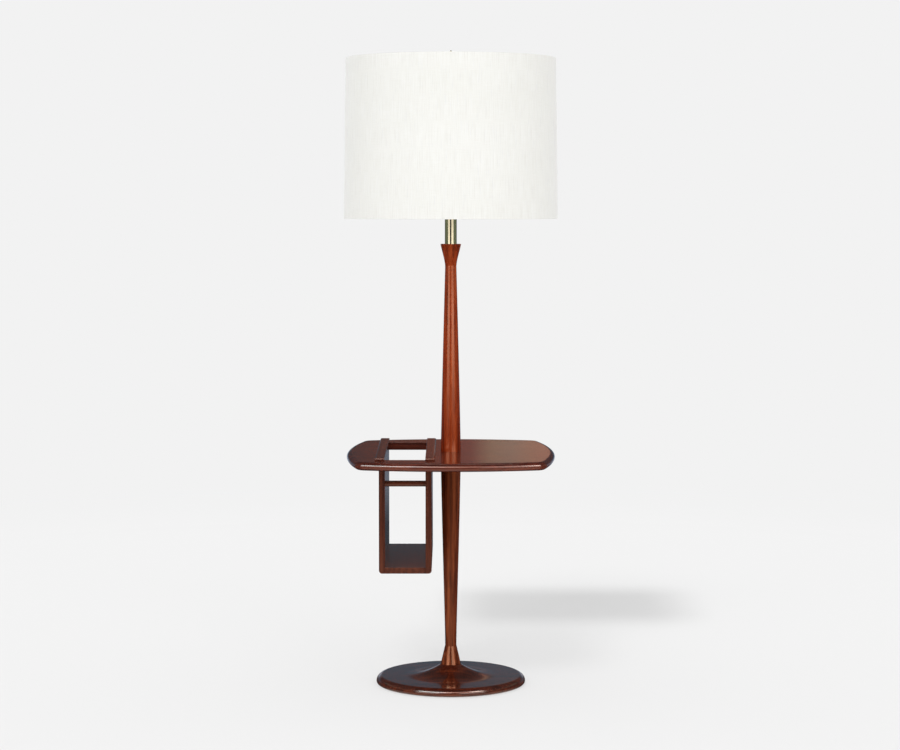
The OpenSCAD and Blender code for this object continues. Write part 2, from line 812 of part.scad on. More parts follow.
// Spun brass cup with a hub that screws on the pipe
module socket_cap() {
    lip_z = holder_z + cap_h - cap_lip_h;
    dome_z = holder_z + socket_hub_h / 2;
    inner_r = cap_r - holder_wall;
    color("gold")
        rotate_extrude()
        polygon([
            [pipe_r + glue_gap, holder_z],
            [hub_r, holder_z],
            [hub_r, dome_z],
            [cap_r - 2, dome_z + (lip_z - dome_z) * 0.65],
            [cap_r, lip_z],
            [cap_r, holder_z + cap_h],
            [inner_r, holder_z + cap_h],
            [inner_r, lip_z],
            [inner_r - 2, dome_z + (lip_z - dome_z) * 0.65],
            [hub_r - holder_wall, dome_z + holder_wall],
            [hub_r - holder_wall, holder_z + socket_hub_h],
            [pipe_r + glue_gap, holder_z + socket_hub_h]
        ]);
}

// Spun brass shell with a rolled bead at its mouth
module socket_shell() {
    bead_r = 1.2;
    color("gold")
        difference() {
            union() {
                translate([0, 0, shell_z]) tube(holder_r, holder_r - holder_wall, shell_h);
                translate([0, 0, shell_top_z - bead_r])
                    rotate_extrude() translate([holder_r, 0]) circle(r = bead_r);
            }
            stem_hole(0.8);
            translate([0, 0, shell_top_z - 2 * bead_r - eps])
                cylinder(r = holder_r - holder_wall, h = 2 * bead_r + 2 * eps);
        }
}

// Hole for the switch stem through a wall of the lamp holder
module stem_hole(gap) {
    translate([0, -stem_in, stem_z]) rotate([90, 0, 0]) cylinder(r = stem_r + gap, h = holder_r);
}

// Insulating sleeve inside the shell
module socket_liner() {
    color("wheat")
        difference() {
            translate([0, 0, shell_z]) tube(liner_r, liner_r - liner_wall, shell_h - 1);
            stem_hole(0.6);
        }
}

// Moulded body that holds the contacts and the switch
module socket_core() {
    color("black")
        difference() {
            translate([0, 0, shell_z]) cylinder(r = core_r, h = core_h);
            translate([0, -stem_in, stem_z]) rotate([90, 0, 0]) cylinder(r = stem_r + run_gap, h = core_r);
        }
}

// Threaded contact sleeve that the bulb screws into
module socket_thread() {
    color("goldenrod")
        translate([0, 0, core_top_z]) tube(thread_r, thread_r - thread_wall, thread_h);
}

module switch_stem() {
    color("goldenrod")
        translate([0, -stem_in - run_gap, stem_z]) rotate([90, 0, 0])
        cylinder(r = stem_r, h = stem_end - stem_in - run_gap);
}

// Moulded knob with grooves to turn it by
module switch_knob() {
    groove_r = 0.9;
    color("black")
        translate([0, -knob_start, stem_z])
        rotate([90, 0, 0])
        difference() {
            cylinder(r = knob_r, h = knob_len);
            translate([0, 0, -eps]) cylinder(r = stem_r + glue_gap, h = stem_end - knob_start + 2 * eps);
            for (i = [0:knob_grooves - 1])
                rotate([0, 0, i * 360 / knob_grooves])
                translate([knob_r, 0, 2]) cylinder(r = groove_r, h = knob_len, $fn = 24);
        }
}

// Bulb -----------------------------------------------------------------

// Screw base: a thin cup with a contact button under it
module bulb_base() {
    color("silver")
        difference() {
            union() {
                translate([0, 0, bulb_z]) cylinder(r1 = 4, r2 = 6, h = button_h);
                translate([0, 0, bulb_z + button_h]) cylinder(r = bulb_base_r, h = bulb_base_h);
            }
            translate([0, 0, bulb_z + button_h + bulb_base_wall])
                cylinder(r = bulb_base_r - bulb_base_wall, h = bulb_base_h);
        }
}

// Outline of the glass, drawn in from its outer face by an inset
function glass_outline(inset) =
    let (
        r = bulb_r - inset,
        throat_r = glass_r - inset,
        join = [r * cos(bulb_join), bulb_centre_z - r * sin(bulb_join)],
        lead = 0.45 * bulb_r * [sin(bulb_join), cos(bulb_join)]
    )
    concat(
        [[throat_r, glass_z]],
        curve_points(
            [throat_r, bulb_base_top_z],
            [throat_r, bulb_base_top_z + (join.y - bulb_base_top_z) * 0.4],
            join - lead,
            join
        ),
        rest_of(arc_points([0, bulb_centre_z], r, -bulb_join, 90, curve_steps))
    );

module bulb_glass() {
    outer = glass_outline(0);
    inner = glass_outline(glass_t);
    last = len(inner) - 1;
    color("ivory")
        rotate_extrude()
        polygon(concat(outer, [for (i = [0:last]) inner[last - i]]));
}

// Shade ----------------------------------------------------------------

// Slightly tapered drum, drawn in from the shade's outer face by an inset
module drum(inset, t, short) {
    slope = (shade_top_r - shade_bottom_r) / shade_h;
    low_r = shade_bottom_r - inset + slope * short;
    high_r = shade_top_r - inset - slope * short;
    rotate_extrude($fn = 192)
        polygon([
            [low_r, shade_z + short],
            [high_r, shade_top_z - short],
            [high_r - t, shade_top_z - short],
            [low_r - t, shade_z + short]
        ]);
}

module shade_fabric() {
    color("linen") drum(0, fabric_t, 0);
}

module shade_liner() {
    color("white") drum(fabric_in, liner_t, 0);
}

// Ring of wire inside one edge of the shade
module wire_ring(r, z) {
    translate([0, 0, z]) rotate_extrude($fn = 192) translate([r, 0]) circle(r = frame_wire_r, $fn = 24);
}

// Upper ring, arms and the washer that sits on the harp
module shade_spider() {
    color("white")
        difference() {
            union() {
                wire_ring(top_ring_r, top_ring_z);
                translate([0, 0, spider_z]) cylinder(r = spider_washer_r, h = spider_washer_t);
                for (i = [0:arm_count - 1])
                    rotate([0, 0, 90 + i * 360 / arm_count])
                    translate([arm_start, 0, spider_mid_z])
                    rotate([0, atan2(arm_run, arm_rise), 0])
                    cylinder(r = arm_wire_r, h = norm([arm_run, arm_rise]), $fn = 24);
            }
            translate([0, 0, spider_z - eps]) cylinder(r = collar_r + run_gap, h = spider_washer_t + 2 * eps);
        }
}

module shade_bottom_ring() {
    color("white") wire_ring(bottom_ring_r, shade_z + frame_wire_r);
}

// Turned brass finial: skirt, hollow waist, ball, and a slim stem with a round tip
module finial() {
    skirt_h = finial_h * 0.08;
    waist_r = stud_r + 1.6;
    waist_z = finial_h * 0.17;
    ball_z = finial_h * 0.42;
    ball_from = -acos(waist_r / finial_r);
    ball_to = 62;
    tip_r = finial_h * 0.07;
    tip_z = finial_h - tip_r;
    bore_h = stud_h - collar_h - spider_washer_t + 1;
    stem = curve_points(
        [finial_r * cos(ball_to), ball_z + finial_r * sin(ball_to)],
        [finial_r * cos(ball_to) * 0.55, ball_z + finial_r * 1.15],
        [tip_r * 0.6, tip_z - finial_h * 0.12],
        [tip_r * 0.8, tip_z - tip_r * 0.6],
        8
    );
    outline = concat(
        [[0, 0], [finial_r, 0], [finial_r, skirt_h], [waist_r, waist_z]],
        arc_points([0, ball_z], finial_r, ball_from, ball_to),
        rest_of(stem),
        rest_of(arc_points([0, tip_z], tip_r, -37, 90, 8))
    );
    color("goldenrod")
        translate([0, 0, finial_z])
        difference() {
            rotate_extrude() polygon(outline);
            translate([0, 0, -eps]) cylinder(r = stud_r + run_gap, h = bore_h + eps);
        }
}

felt_pad();
base_disc();
base_weight();
base_washer();
base_nut();
cord_bushing();
lower_column();
table_top();
upper_column();
lamp_pipe();
neck_tube();
neck_cap();
neck_nut();
harp_saddle();
harp_wire();
harp_sleeves();
harp_stud();
socket_cap();
socket_shell();
socket_liner();
socket_core();
socket_thread();
switch_stem();
switch_knob();
bulb_base();
bulb_glass();
shade_fabric();
shade_liner();
shade_spider();
shade_bottom_ring();
finial();
rack_left_board();
rack_right_board();
rack_floor();
rack_front_bar();
rack_back_bar();
rack_left_rail();
rack_right_rail();
rack_pins();
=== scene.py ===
import math

import bmesh
import bpy
import numpy as np
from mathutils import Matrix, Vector


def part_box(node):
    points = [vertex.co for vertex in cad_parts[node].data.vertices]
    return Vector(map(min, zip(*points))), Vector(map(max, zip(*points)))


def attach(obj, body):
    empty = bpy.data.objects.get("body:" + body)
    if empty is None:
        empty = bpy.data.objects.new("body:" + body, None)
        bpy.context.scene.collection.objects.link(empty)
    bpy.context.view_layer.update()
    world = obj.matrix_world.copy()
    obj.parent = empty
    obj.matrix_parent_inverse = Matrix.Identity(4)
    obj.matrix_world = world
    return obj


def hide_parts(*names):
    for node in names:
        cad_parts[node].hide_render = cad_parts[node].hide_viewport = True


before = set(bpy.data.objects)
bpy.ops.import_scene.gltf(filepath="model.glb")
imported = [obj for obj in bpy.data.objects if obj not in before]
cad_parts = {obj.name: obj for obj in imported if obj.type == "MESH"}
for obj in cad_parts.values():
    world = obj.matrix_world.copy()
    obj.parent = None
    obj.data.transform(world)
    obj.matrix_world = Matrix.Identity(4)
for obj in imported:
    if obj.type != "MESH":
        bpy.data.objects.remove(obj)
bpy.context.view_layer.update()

# Camera -----------------------------------------------------------------
# It stands five metres in front of the lamp, about level with the shade's
# lower edge, and looks slightly down with a long lens.
CAMERA_PLACE = (-0.0017, -4.980, 1.0354)
CAMERA_TILT = 0.0734            # radians below the horizon
CAMERA_LENS = 92.93             # mm, on a sensor 36 mm wide

scene = bpy.context.scene
camera = bpy.data.objects.new("camera", bpy.data.cameras.new("camera"))
scene.collection.objects.link(camera)
camera.location = CAMERA_PLACE
camera.rotation_euler = (math.pi / 2 - CAMERA_TILT, 0, 0)
camera.data.sensor_width = 36
camera.data.lens = CAMERA_LENS
camera.data.clip_end = 2000
scene.camera = camera


# Foot -------------------------------------------------------------------
# A walnut disc turned in one piece: a round rim, a flat top and a bell that
# rises to the column. It is hollowed below for an iron weight, and has felt
# under it. A bushing in its back holds the place where a cord would leave.
FOOT_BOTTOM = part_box("base_disc")[0].z
FOOT_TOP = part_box("base_disc")[1].z
FOOT_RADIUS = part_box("base_disc")[1].x
RIM_THICKNESS = 0.017
UNDER_ROUND = 0.0045            # the small rounding under the rim's widest line
BELL_RADIUS = 0.100
WEIGHT_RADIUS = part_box("base_weight")[1].x + 0.0005
WEIGHT_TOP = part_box("base_weight")[1].z
COLUMN_FOOT_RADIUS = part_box("lower_column")[1].x
BORE_RADIUS = 0.0053
SPIGOT_RADIUS = 0.010
SPIGOT_LENGTH = 0.008
BUSHING_BORE = 0.0035
BUSHING_OUTER = 0.005
BUSHING_COLLAR = 0.0065
BUSHING_COLLAR_THICKNESS = 0.0015
BUSHING_ROUND = 0.0007          # along the collar's outer edge
BUSHING_MOUTH = 0.0006          # rounding of the mouth
OUTLET_GAP = 0.0003             # round the bushing's collar
LATHE_SIDES = 160               # steps round a turned piece
FOOT_SIDES = 256
OUTLET_SIDES = 48
BUSHING_SIDES = 64
SHARP = math.radians(35)        # edges sharper than this stay crisp
ON_AXIS = 1e-9                  # a radius below this lies on the axis


def arc(centre, radius, start, end, steps):
    """Points (across, up) along a round stretch, with its angles in degrees."""
    angles = [math.radians(start + (end - start) * i / steps) for i in range(steps + 1)]
    return [(centre[0] + radius * math.cos(a), centre[1] + radius * math.sin(a)) for a in angles]


def sweep_curve(a, b, c, d, steps):
    """Points along a free curve with two ends, a and d, and two handles, b and c."""
    points = []
    for i in range(steps + 1):
        t = i / steps
        w = ((1 - t) ** 3, 3 * (1 - t) ** 2 * t, 3 * (1 - t) * t * t, t ** 3)
        points.append(tuple(sum(k * p[n] for k, p in zip(w, (a, b, c, d))) for n in (0, 1)))
    return points


def finished(name, bm, material, body, nodes=()):
    """A finished piece: its mesh, finish, body, and the nodes that it stands for."""
    bmesh.ops.remove_doubles(bm, verts=bm.verts, dist=1e-6)
    bmesh.ops.dissolve_degenerate(bm, edges=bm.edges, dist=1e-7)
    bmesh.ops.recalc_face_normals(bm, faces=bm.faces)
    bm.normal_update()
    for face in bm.faces:
        face.smooth = True
    for edge in bm.edges:
        edge.smooth = not (len(edge.link_faces) == 2 and edge.calc_face_angle(0) > SHARP)
    mesh = bpy.data.meshes.new(name)
    bm.to_mesh(mesh)
    bm.free()
    mesh.materials.append(material)
    piece = bpy.data.objects.new(name, mesh)
    scene.collection.objects.link(piece)
    level = piece.modifiers.new("flat faces stay flat", "WEIGHTED_NORMAL")
    level.keep_sharp = True
    level.weight = 100
    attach(piece, body)
    if nodes:
        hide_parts(*nodes)
    return piece


def lathe(bm, outline, sides=LATHE_SIDES, place=(0, 0)):
    """Turns a closed outline of (radius, height) points round an upright axis."""
    rings = []
    for k in range(sides):
        a = math.tau * k / sides
        ring = [(place[0] + r * math.cos(a), place[1] + r * math.sin(a), z) for r, z in outline]
        rings.append([bm.verts.new(p) for p in ring])
    for k in range(sides):
        here, there = rings[k], rings[(k + 1) % sides]
        for i in range(len(outline)):
            j = (i + 1) % len(outline)
            on_axis = outline[i][0] < ON_AXIS, outline[j][0] < ON_AXIS
            if all(on_axis):
                continue
            corners = [here[i], there[i], there[j], here[j]]
            if on_axis[0]:
                corners = [here[i], there[j], here[j]]
            if on_axis[1]:
                corners = [here[i], there[i], here[j]]
            bm.faces.new(corners)
    return bm


def turned(name, outline, material, body, nodes, sides=LATHE_SIDES):
    """A finished piece that is turned from one closed outline."""
    return finished(name, lathe(bmesh.new(), outline, sides), material, body, nodes)


def laid_back(bm, height):
    """A turned shape laid down, so that its axis runs to the back at some height."""
    for vert in bm.verts:
        x, y, z = vert.co
        vert.co = (x, z, height + y)
    return bm


def plain_mesh(source, name):
    """The plain mesh that an object's modifiers make. The object itself is removed."""
    evaluated = source.evaluated_get(bpy.context.evaluated_depsgraph_get())
    mesh = bpy.data.meshes.new_from_object(evaluated)
    mesh.name = name
    bpy.data.objects.remove(source)
    return mesh


def cut_out(wood, cutter):
    """A shape with another one cut out of it."""
    blocks = []
    for bm in (wood, cutter):
        bmesh.ops.remove_doubles(bm, verts=bm.verts, dist=1e-6)
        bmesh.ops.recalc_face_normals(bm, faces=bm.faces)
        mesh = bpy.data.meshes.new("cut")
        bm.to_mesh(mesh)
        bm.free()
        blocks.append(bpy.data.objects.new("cut", mesh))
        scene.collection.objects.link(blocks[-1])
    cut = blocks[0].modifiers.new("cut", "BOOLEAN")
    cut.operation = "DIFFERENCE"
    cut.solver = "EXACT"
    cut.object = blocks[1]
    rest = bmesh.new()
    rest.from_mesh(plain_mesh(blocks[0], "cut"))
    bpy.data.objects.remove(blocks[1])
    return rest


def out_of(source):
    """A socket or a value itself, or a node's first output."""
    return source.outputs[0] if isinstance(source, bpy.types.Node) else source


def add(tree, kind, inputs=None, **settings):
    """A node with its settings, and with its inputs linked or set."""
    made = tree.nodes.new(kind)
    for key, value in settings.items():
        setattr(made, key, value)
    for key, source in (inputs or {}).items():
        value = out_of(source)
        if isinstance(value, bpy.types.NodeSocket):
            tree.links.new(value, made.inputs[key])
        else:
            made.inputs[key].default_value = value
    return made


def ramp(tree, factor, stops):
    """A colour ramp from (place, colour) stops."""
    made = add(tree, "ShaderNodeValToRGB", {"Fac": factor})
    elements = made.color_ramp.elements
    while len(elements) < len(stops):
        elements.new(0.5)
    for element, (place, colour) in zip(elements, stops):
        element.position = place
        element.color = (*colour, 1)
    return made


def finish_of(name, **numbers):
    """A new material, its tree, and its shader, on which even numbers and colours are set."""
    material = bpy.data.materials.new(name)
    material.use_nodes = True
    shader = material.node_tree.nodes["Principled BSDF"]
    for key, value in numbers.items():
        shader.inputs[key.replace("_", " ").title().replace("Ior", "IOR")].default_value = value
    return material, material.node_tree, shader


def feed(tree, shader, relief=None, **sources):
    """Links nodes to the shader's inputs. relief is a height, its strength and its distance."""
    if relief:
        height, strength, distance = relief
        sources["normal"] = add(tree, "ShaderNodeBump", {
            "Height": height, "Strength": strength, "Distance": distance})
    for key, source in sources.items():
        tree.links.new(out_of(source), shader.inputs[key.replace("_", " ").title()])


def place_in(tree, source=None, **mapping):
    """Object coordinates, or another source of them, moved, turned or scaled."""
    if source is None:
        source = add(tree, "ShaderNodeTexCoord").outputs["Object"]
    return add(tree, "ShaderNodeMapping", {"Vector": source, **mapping})


def noise(tree, place, scale, detail, roughness=0.5, distortion=0.0):
    """Cloudy noise, mostly from 0.3 to 0.7."""
    return add(tree, "ShaderNodeTexNoise", {
        "Vector": place, "Scale": scale, "Detail": detail,
        "Roughness": roughness, "Distortion": distortion})


def waves(tree, place, way, scale, distortion, detail, detail_scale, detail_roughness=0.5):
    """Uneven bands, one after another along X or Y."""
    return add(tree, "ShaderNodeTexWave", {
        "Vector": place, "Scale": scale, "Distortion": distortion, "Detail": detail,
        "Detail Scale": detail_scale, "Detail Roughness": detail_roughness,
    }, bands_direction=way).outputs["Fac"]


def multiply(tree, a, b, amount=1.0):
    """Colour a darkened by colour b."""
    made = add(tree, "ShaderNodeMix", {0: amount, 6: a, 7: b}, data_type="RGBA", blend_type="MULTIPLY")
    return made.outputs[2]


def blend(tree, a, b, amount):
    """Numbers a and b mixed by a fixed amount."""
    return add(tree, "ShaderNodeMix", {0: amount, 2: a, 3: b}, data_type="FLOAT")


def spread(tree, cloud, low, high):
    """Noise drawn out to go from low to high."""
    return add(tree, "ShaderNodeMapRange", {
        "Value": cloud, "From Min": 0.3, "From Max": 0.7, "To Min": low, "To Max": high})


def mottled(name, scale, detail, stops, relief=(), **numbers):
    """A finish whose colour follows fine noise. relief is the noise's strength and distance as a relief."""
    material, tree, shader = finish_of(name, **numbers)
    cloud = noise(tree, place_in(tree), scale, detail)
    feed(tree, shader, relief and (cloud, *relief), base_color=ramp(tree, cloud, stops))
    return material


def walnut(name, turn, start, tones, gloss, coat):
    """Stained walnut under tinted lacquer, in a dark, a middle and a light tone. turn lays its grain,
    which runs along Z, another way. gloss is the tint of its shine, and coat its clear top coat."""
    dark, middle, light = tones
    material, tree, shader = finish_of(
        name, specular_ior_level=1.0, specular_tint=(*gloss, 1),
        coat_weight=coat, coat_roughness=0.06, coat_ior=1.5,
    )
    grain = place_in(tree, Location=start, Rotation=turn)
    figure_place = place_in(tree, grain, Scale=(1, 1, 0.07))
    fibre_place = place_in(tree, grain, Scale=(1, 1, 0.02))
    figure = noise(tree, figure_place, 75.0, 4.0, 0.55, 0.8)
    rings = waves(tree, figure_place, "X", 26.0, 5.0, 3.0, 1.4, 0.6)
    fibres = noise(tree, fibre_place, 420.0, 3.0, 0.6)
    pores = noise(tree, fibre_place, 1500.0, 1.0)
    tone = blend(tree, blend(tree, figure, rings, 0.18), fibres, 0.33)
    colour = ramp(tree, tone, [(0.36, dark), (0.49, middle), (0.62, light)])
    pore_tone = ramp(tree, pores, [(0.30, (0.55, 0.5, 0.5)), (0.42, (1, 1, 1))])
    feed(tree, shader, (pores, 0.05, 0.0004), base_color=multiply(tree, colour, pore_tone, 0.8),
         roughness=spread(tree, fibres, 0.13, 0.19))
    return material


ALONG_X = (0, math.pi / 2, 0)
ALONG_Y = (math.pi / 2, 0, 0)
ALONG_Z = (0, 0, 0)
BOARD_TONES = ((0.035, 0.0065, 0.0035), (0.070, 0.0120, 0.0055), (0.115, 0.0240, 0.0092))
BOARD_GLOSS = (1.0, 0.74, 0.62)

walnut_foot = walnut("walnut of the foot", ALONG_X, (0.3, 0.1, 0.7), BOARD_TONES, BOARD_GLOSS, 0.35)
shoulder_round = RIM_THICKNESS - UNDER_ROUND
widest = FOOT_BOTTOM + UNDER_ROUND
flat_top = FOOT_BOTTOM + RIM_THICKNESS
bell_rise = FOOT_TOP - flat_top
bell_run = BELL_RADIUS - COLUMN_FOOT_RADIUS
bell_round = (bell_run ** 2 + bell_rise ** 2) / (2 * bell_rise)
bell_angle = math.degrees(math.asin(bell_run / bell_round))
socket_bottom = FOOT_TOP - SPIGOT_LENGTH
foot_outline = [
    (BORE_RADIUS, WEIGHT_TOP),
    (WEIGHT_RADIUS, WEIGHT_TOP),
    (WEIGHT_RADIUS, FOOT_BOTTOM),
    *arc((FOOT_RADIUS - UNDER_ROUND, widest), UNDER_ROUND, -90, 0, 10),
    *arc((FOOT_RADIUS - shoulder_round, widest), shoulder_round, 0, 90, 22)[1:],
    ((FOOT_RADIUS - shoulder_round + BELL_RADIUS) / 2, flat_top),
    *arc((BELL_RADIUS, flat_top + bell_round), bell_round, -90, -90 - bell_angle, 32),
    (SPIGOT_RADIUS, FOOT_TOP),
    (SPIGOT_RADIUS, socket_bottom),
    (BORE_RADIUS, socket_bottom),
]
bushing_low, bushing_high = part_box("cord_bushing")
bushing_height = (bushing_low.z + bushing_high.z) / 2
outlet_seat = bushing_high.y - BUSHING_COLLAR_THICKNESS
cutter_end = FOOT_RADIUS + 0.01
outlet_cutter = laid_back(lathe(bmesh.new(), [
    (0, bushing_low.y), (BUSHING_OUTER, bushing_low.y), (BUSHING_OUTER, outlet_seat),
    (BUSHING_COLLAR + OUTLET_GAP, outlet_seat), (BUSHING_COLLAR + OUTLET_GAP, cutter_end), (0, cutter_end),
], OUTLET_SIDES), bushing_height)
foot_wood = cut_out(lathe(bmesh.new(), foot_outline, FOOT_SIDES), outlet_cutter)
finished("foot", foot_wood, walnut_foot, "stand", ["base_disc"])


def dressed(node, material):
    """A CAD node that is shown as it is, with its finish."""
    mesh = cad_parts[node].data
    mesh.materials.clear()
    mesh.materials.append(material)


dressed("felt_pad", mottled(
    "grey felt", 900.0, 4.0, [(0.3, (0.05, 0.05, 0.048)), (0.7, (0.14, 0.14, 0.13))], (0.5, 0.0005),
    roughness=1.0, specular_ior_level=0.1, sheen_weight=0.4))
dressed("base_weight", mottled(
    "rough iron", 260.0, 5.0, [(0.35, (0.07, 0.07, 0.07)), (0.7, (0.16, 0.15, 0.14))], (0.6, 0.001),
    metallic=1.0, roughness=0.6))


def plated(name, colour, roughness, streak):
    """Drawn or plated metal with fine lines round it. streak is how much its gloss varies."""
    material, tree, shader = finish_of(name, metallic=1.0)
    cloud = noise(tree, place_in(tree), 35.0, 4.0, 0.6)
    lines = noise(tree, place_in(tree, Scale=(1, 1, 18)), 120.0, 2.0)
    tarnished = tuple(0.84 * c for c in colour)
    feed(tree, shader, base_color=ramp(tree, cloud, [(0.35, tarnished), (0.6, colour)]),
         roughness=spread(tree, lines, roughness - streak, roughness + streak))
    return material


zinc = plated("zinc plated steel", (0.56, 0.56, 0.55), 0.32, 0.08)
for node in ("base_washer", "base_nut", "lamp_pipe", "neck_nut"):
    dressed(node, zinc)

rubber = finish_of("black bushing", roughness=0.55, base_color=(0.018, 0.018, 0.018, 1))[0]
bushing_outline = [
    (BUSHING_BORE, bushing_low.y),
    (BUSHING_OUTER, bushing_low.y),
    (BUSHING_OUTER, outlet_seat),
    (BUSHING_COLLAR, outlet_seat),
    *arc((BUSHING_COLLAR - BUSHING_ROUND, bushing_high.y - BUSHING_ROUND), BUSHING_ROUND, 0, 90, 5),
    *arc((BUSHING_BORE + BUSHING_MOUTH, bushing_high.y - BUSHING_MOUTH), BUSHING_MOUTH, 90, 180, 5),
]
bushing = laid_back(lathe(bmesh.new(), bushing_outline, BUSHING_SIDES), bushing_height)
finished("cord_outlet_bushing", bushing, rubber, "stand", ["cord_bushing"])


# Column -----------------------------------------------------------------
# Two walnut spindles, one under the table and one above it, joined by
# spigots. A turner cuts them from square stock to a curve that swells
# towards the table, with a crisp waist and a flare at each far end.
TABLE_BOTTOM, TABLE_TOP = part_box("table_top")[0].z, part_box("table_top")[1].z
COLUMN_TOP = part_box("upper_column")[1].z
FLARE_TOP_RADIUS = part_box("upper_column")[1].x
FOOT_FLARE = 0.0412             # height of the cone at the column's foot
TOP_FLARE = 0.0468              # height of the flare at the column's top
LOWER_WAIST = 0.0122            # radii
UPPER_WAIST = 0.0121
SWELL = 0.0217
SWELL_PULL = 0.42               # how far the swell's handle lies towards the waist
EDGE = 0.0006                   # a turner's light touch on a sharp edge
TINY = 0.00001
NECK_FIT = 0.00005              # play round the neck
SEAT_MIDDLE = 0.006             # radius of the hollow in the middle of the neck's seat
CURVE_STEPS = 36


def piece_tree(name, inputs):
    """A tree with inputs of the kinds of some values. A finish is given as None."""
    tree = bpy.data.node_groups.new(name, "GeometryNodeTree")
    tree.is_modifier = True
    for way in ("INPUT", "OUTPUT"):
        tree.interface.new_socket("Geometry", in_out=way, socket_type="NodeSocketGeometry")
    for label, value in inputs.items():
        kind = {float: "Float", int: "Int"}.get(type(value), "Material")
        tree.interface.new_socket(label, in_out="INPUT", socket_type="NodeSocket" + kind)
    return tree, add(tree, "NodeGroupInput").outputs


def end_tree(tree, geometry, finish):
    """Ends a tree with plain geometry and its finish."""
    solid = add(tree, "GeometryNodeRealizeInstances", {"Geometry": geometry})
    done = add(tree, "GeometryNodeSetMaterial", {"Geometry": solid, "Material": finish})
    add(tree, "NodeGroupOutput", {0: done})
    return tree


def sweep_tree():
    """Sweeps a circle along a line whose points carry shares of the circle's radius."""
    tree, given = piece_tree("round sweep", {"Radius": 1.0, "Sides": 3, "Finish": None})
    circle = add(tree, "GeometryNodeCurvePrimitiveCircle", {
        "Resolution": given["Sides"], "Radius": given["Radius"]})
    rod = add(tree, "GeometryNodeCurveToMesh", {
        "Curve": given["Geometry"], "Profile Curve": circle, "Fill Caps": True,
        "Scale": add(tree, "GeometryNodeInputRadius"),
    })
    return end_tree(tree, rod, given["Finish"])


def grown(name, data, tree, inputs):
    """The plain mesh that a tree makes, with its inputs set by their sockets' identifiers."""
    source = bpy.data.objects.new(name, data)
    scene.collection.objects.link(source)
    modifier = source.modifiers.new("tree", "NODES")
    modifier.node_group = tree
    for item in tree.interface.items_tree:
        if item.name in inputs:
            modifier[item.identifier] = inputs[item.name]
    return plain_mesh(source, name)


def swept(name, points, radius, sides, finish, shares=None, closed=False):
    """The plain mesh of a round rod along some points, with shares of its radius at them."""
    curve = bpy.data.curves.new(name, "CURVE")
    curve.dimensions = "3D"
    line = curve.splines.new("POLY")
    line.points.add(len(points) - 1)
    line.use_cyclic_u = closed
    for point, place, share in zip(line.points, points, shares or [1.0] * len(points)):
        point.co = (*place, 1)
        point.radius = share
    return grown(name, curve, sweep, {"Radius": radius, "Sides": sides, "Finish": finish})


def plain_piece(mesh, body, nodes):
    """A finished piece from a plain mesh whose material is set."""
    bm = bmesh.new()
    bm.from_mesh(mesh)
    return finished(mesh.name, bm, mesh.materials[0], body, nodes)


def spindle(name, outline, wood, node):
    """A solid spindle from (radius, height) points."""
    mesh = swept(name, [(0, 0, z) for r, z in outline], 1.0, LATHE_SIDES, wood, [r for r, z in outline])
    plain_piece(mesh, "stand", [node])


sweep = sweep_tree()
COLUMN_GLOSS = (1.0, 0.46, 0.24)
walnut_lower = walnut(
    "walnut of the lower column", ALONG_Z, (0.12, 0.4, 0.0),
    ((0.058, 0.0098, 0.0045), (0.150, 0.0285, 0.0098), (0.275, 0.063, 0.021)), COLUMN_GLOSS, 0.12)
walnut_upper = walnut(
    "walnut of the upper column", ALONG_Z, (0.55, 0.21, 0.3),
    ((0.150, 0.0160, 0.0042), (0.285, 0.0340, 0.0075), (0.40, 0.060, 0.013)), COLUMN_GLOSS, 0.12)

lower_waist_height = FOOT_TOP + FOOT_FLARE
lower_rise = TABLE_BOTTOM - lower_waist_height
cone_lean = math.degrees(math.atan((COLUMN_FOOT_RADIUS - LOWER_WAIST) / FOOT_FLARE))
lower_outline = [
    (SPIGOT_RADIUS, FOOT_TOP - SPIGOT_LENGTH),
    (SPIGOT_RADIUS, FOOT_TOP - TINY),
    (COLUMN_FOOT_RADIUS - EDGE, FOOT_TOP),
    *arc((COLUMN_FOOT_RADIUS - EDGE, FOOT_TOP + EDGE), EDGE, -72, cone_lean, 5),
    *[(COLUMN_FOOT_RADIUS - t * (COLUMN_FOOT_RADIUS - LOWER_WAIST), FOOT_TOP + t * FOOT_FLARE)
      for t in (0.25, 0.5, 0.75, 0.97)],
    *sweep_curve(
        (LOWER_WAIST, lower_waist_height),
        (LOWER_WAIST, lower_waist_height + lower_rise * 0.1),
        (SWELL - (SWELL - LOWER_WAIST) * SWELL_PULL, TABLE_BOTTOM - lower_rise * 0.5),
        (SWELL, TABLE_BOTTOM), CURVE_STEPS,
    ),
    (SPIGOT_RADIUS, TABLE_BOTTOM + TINY),
    (SPIGOT_RADIUS, TABLE_BOTTOM + SPIGOT_LENGTH),
]
spindle("lower_spindle", lower_outline, walnut_lower, "lower_column")

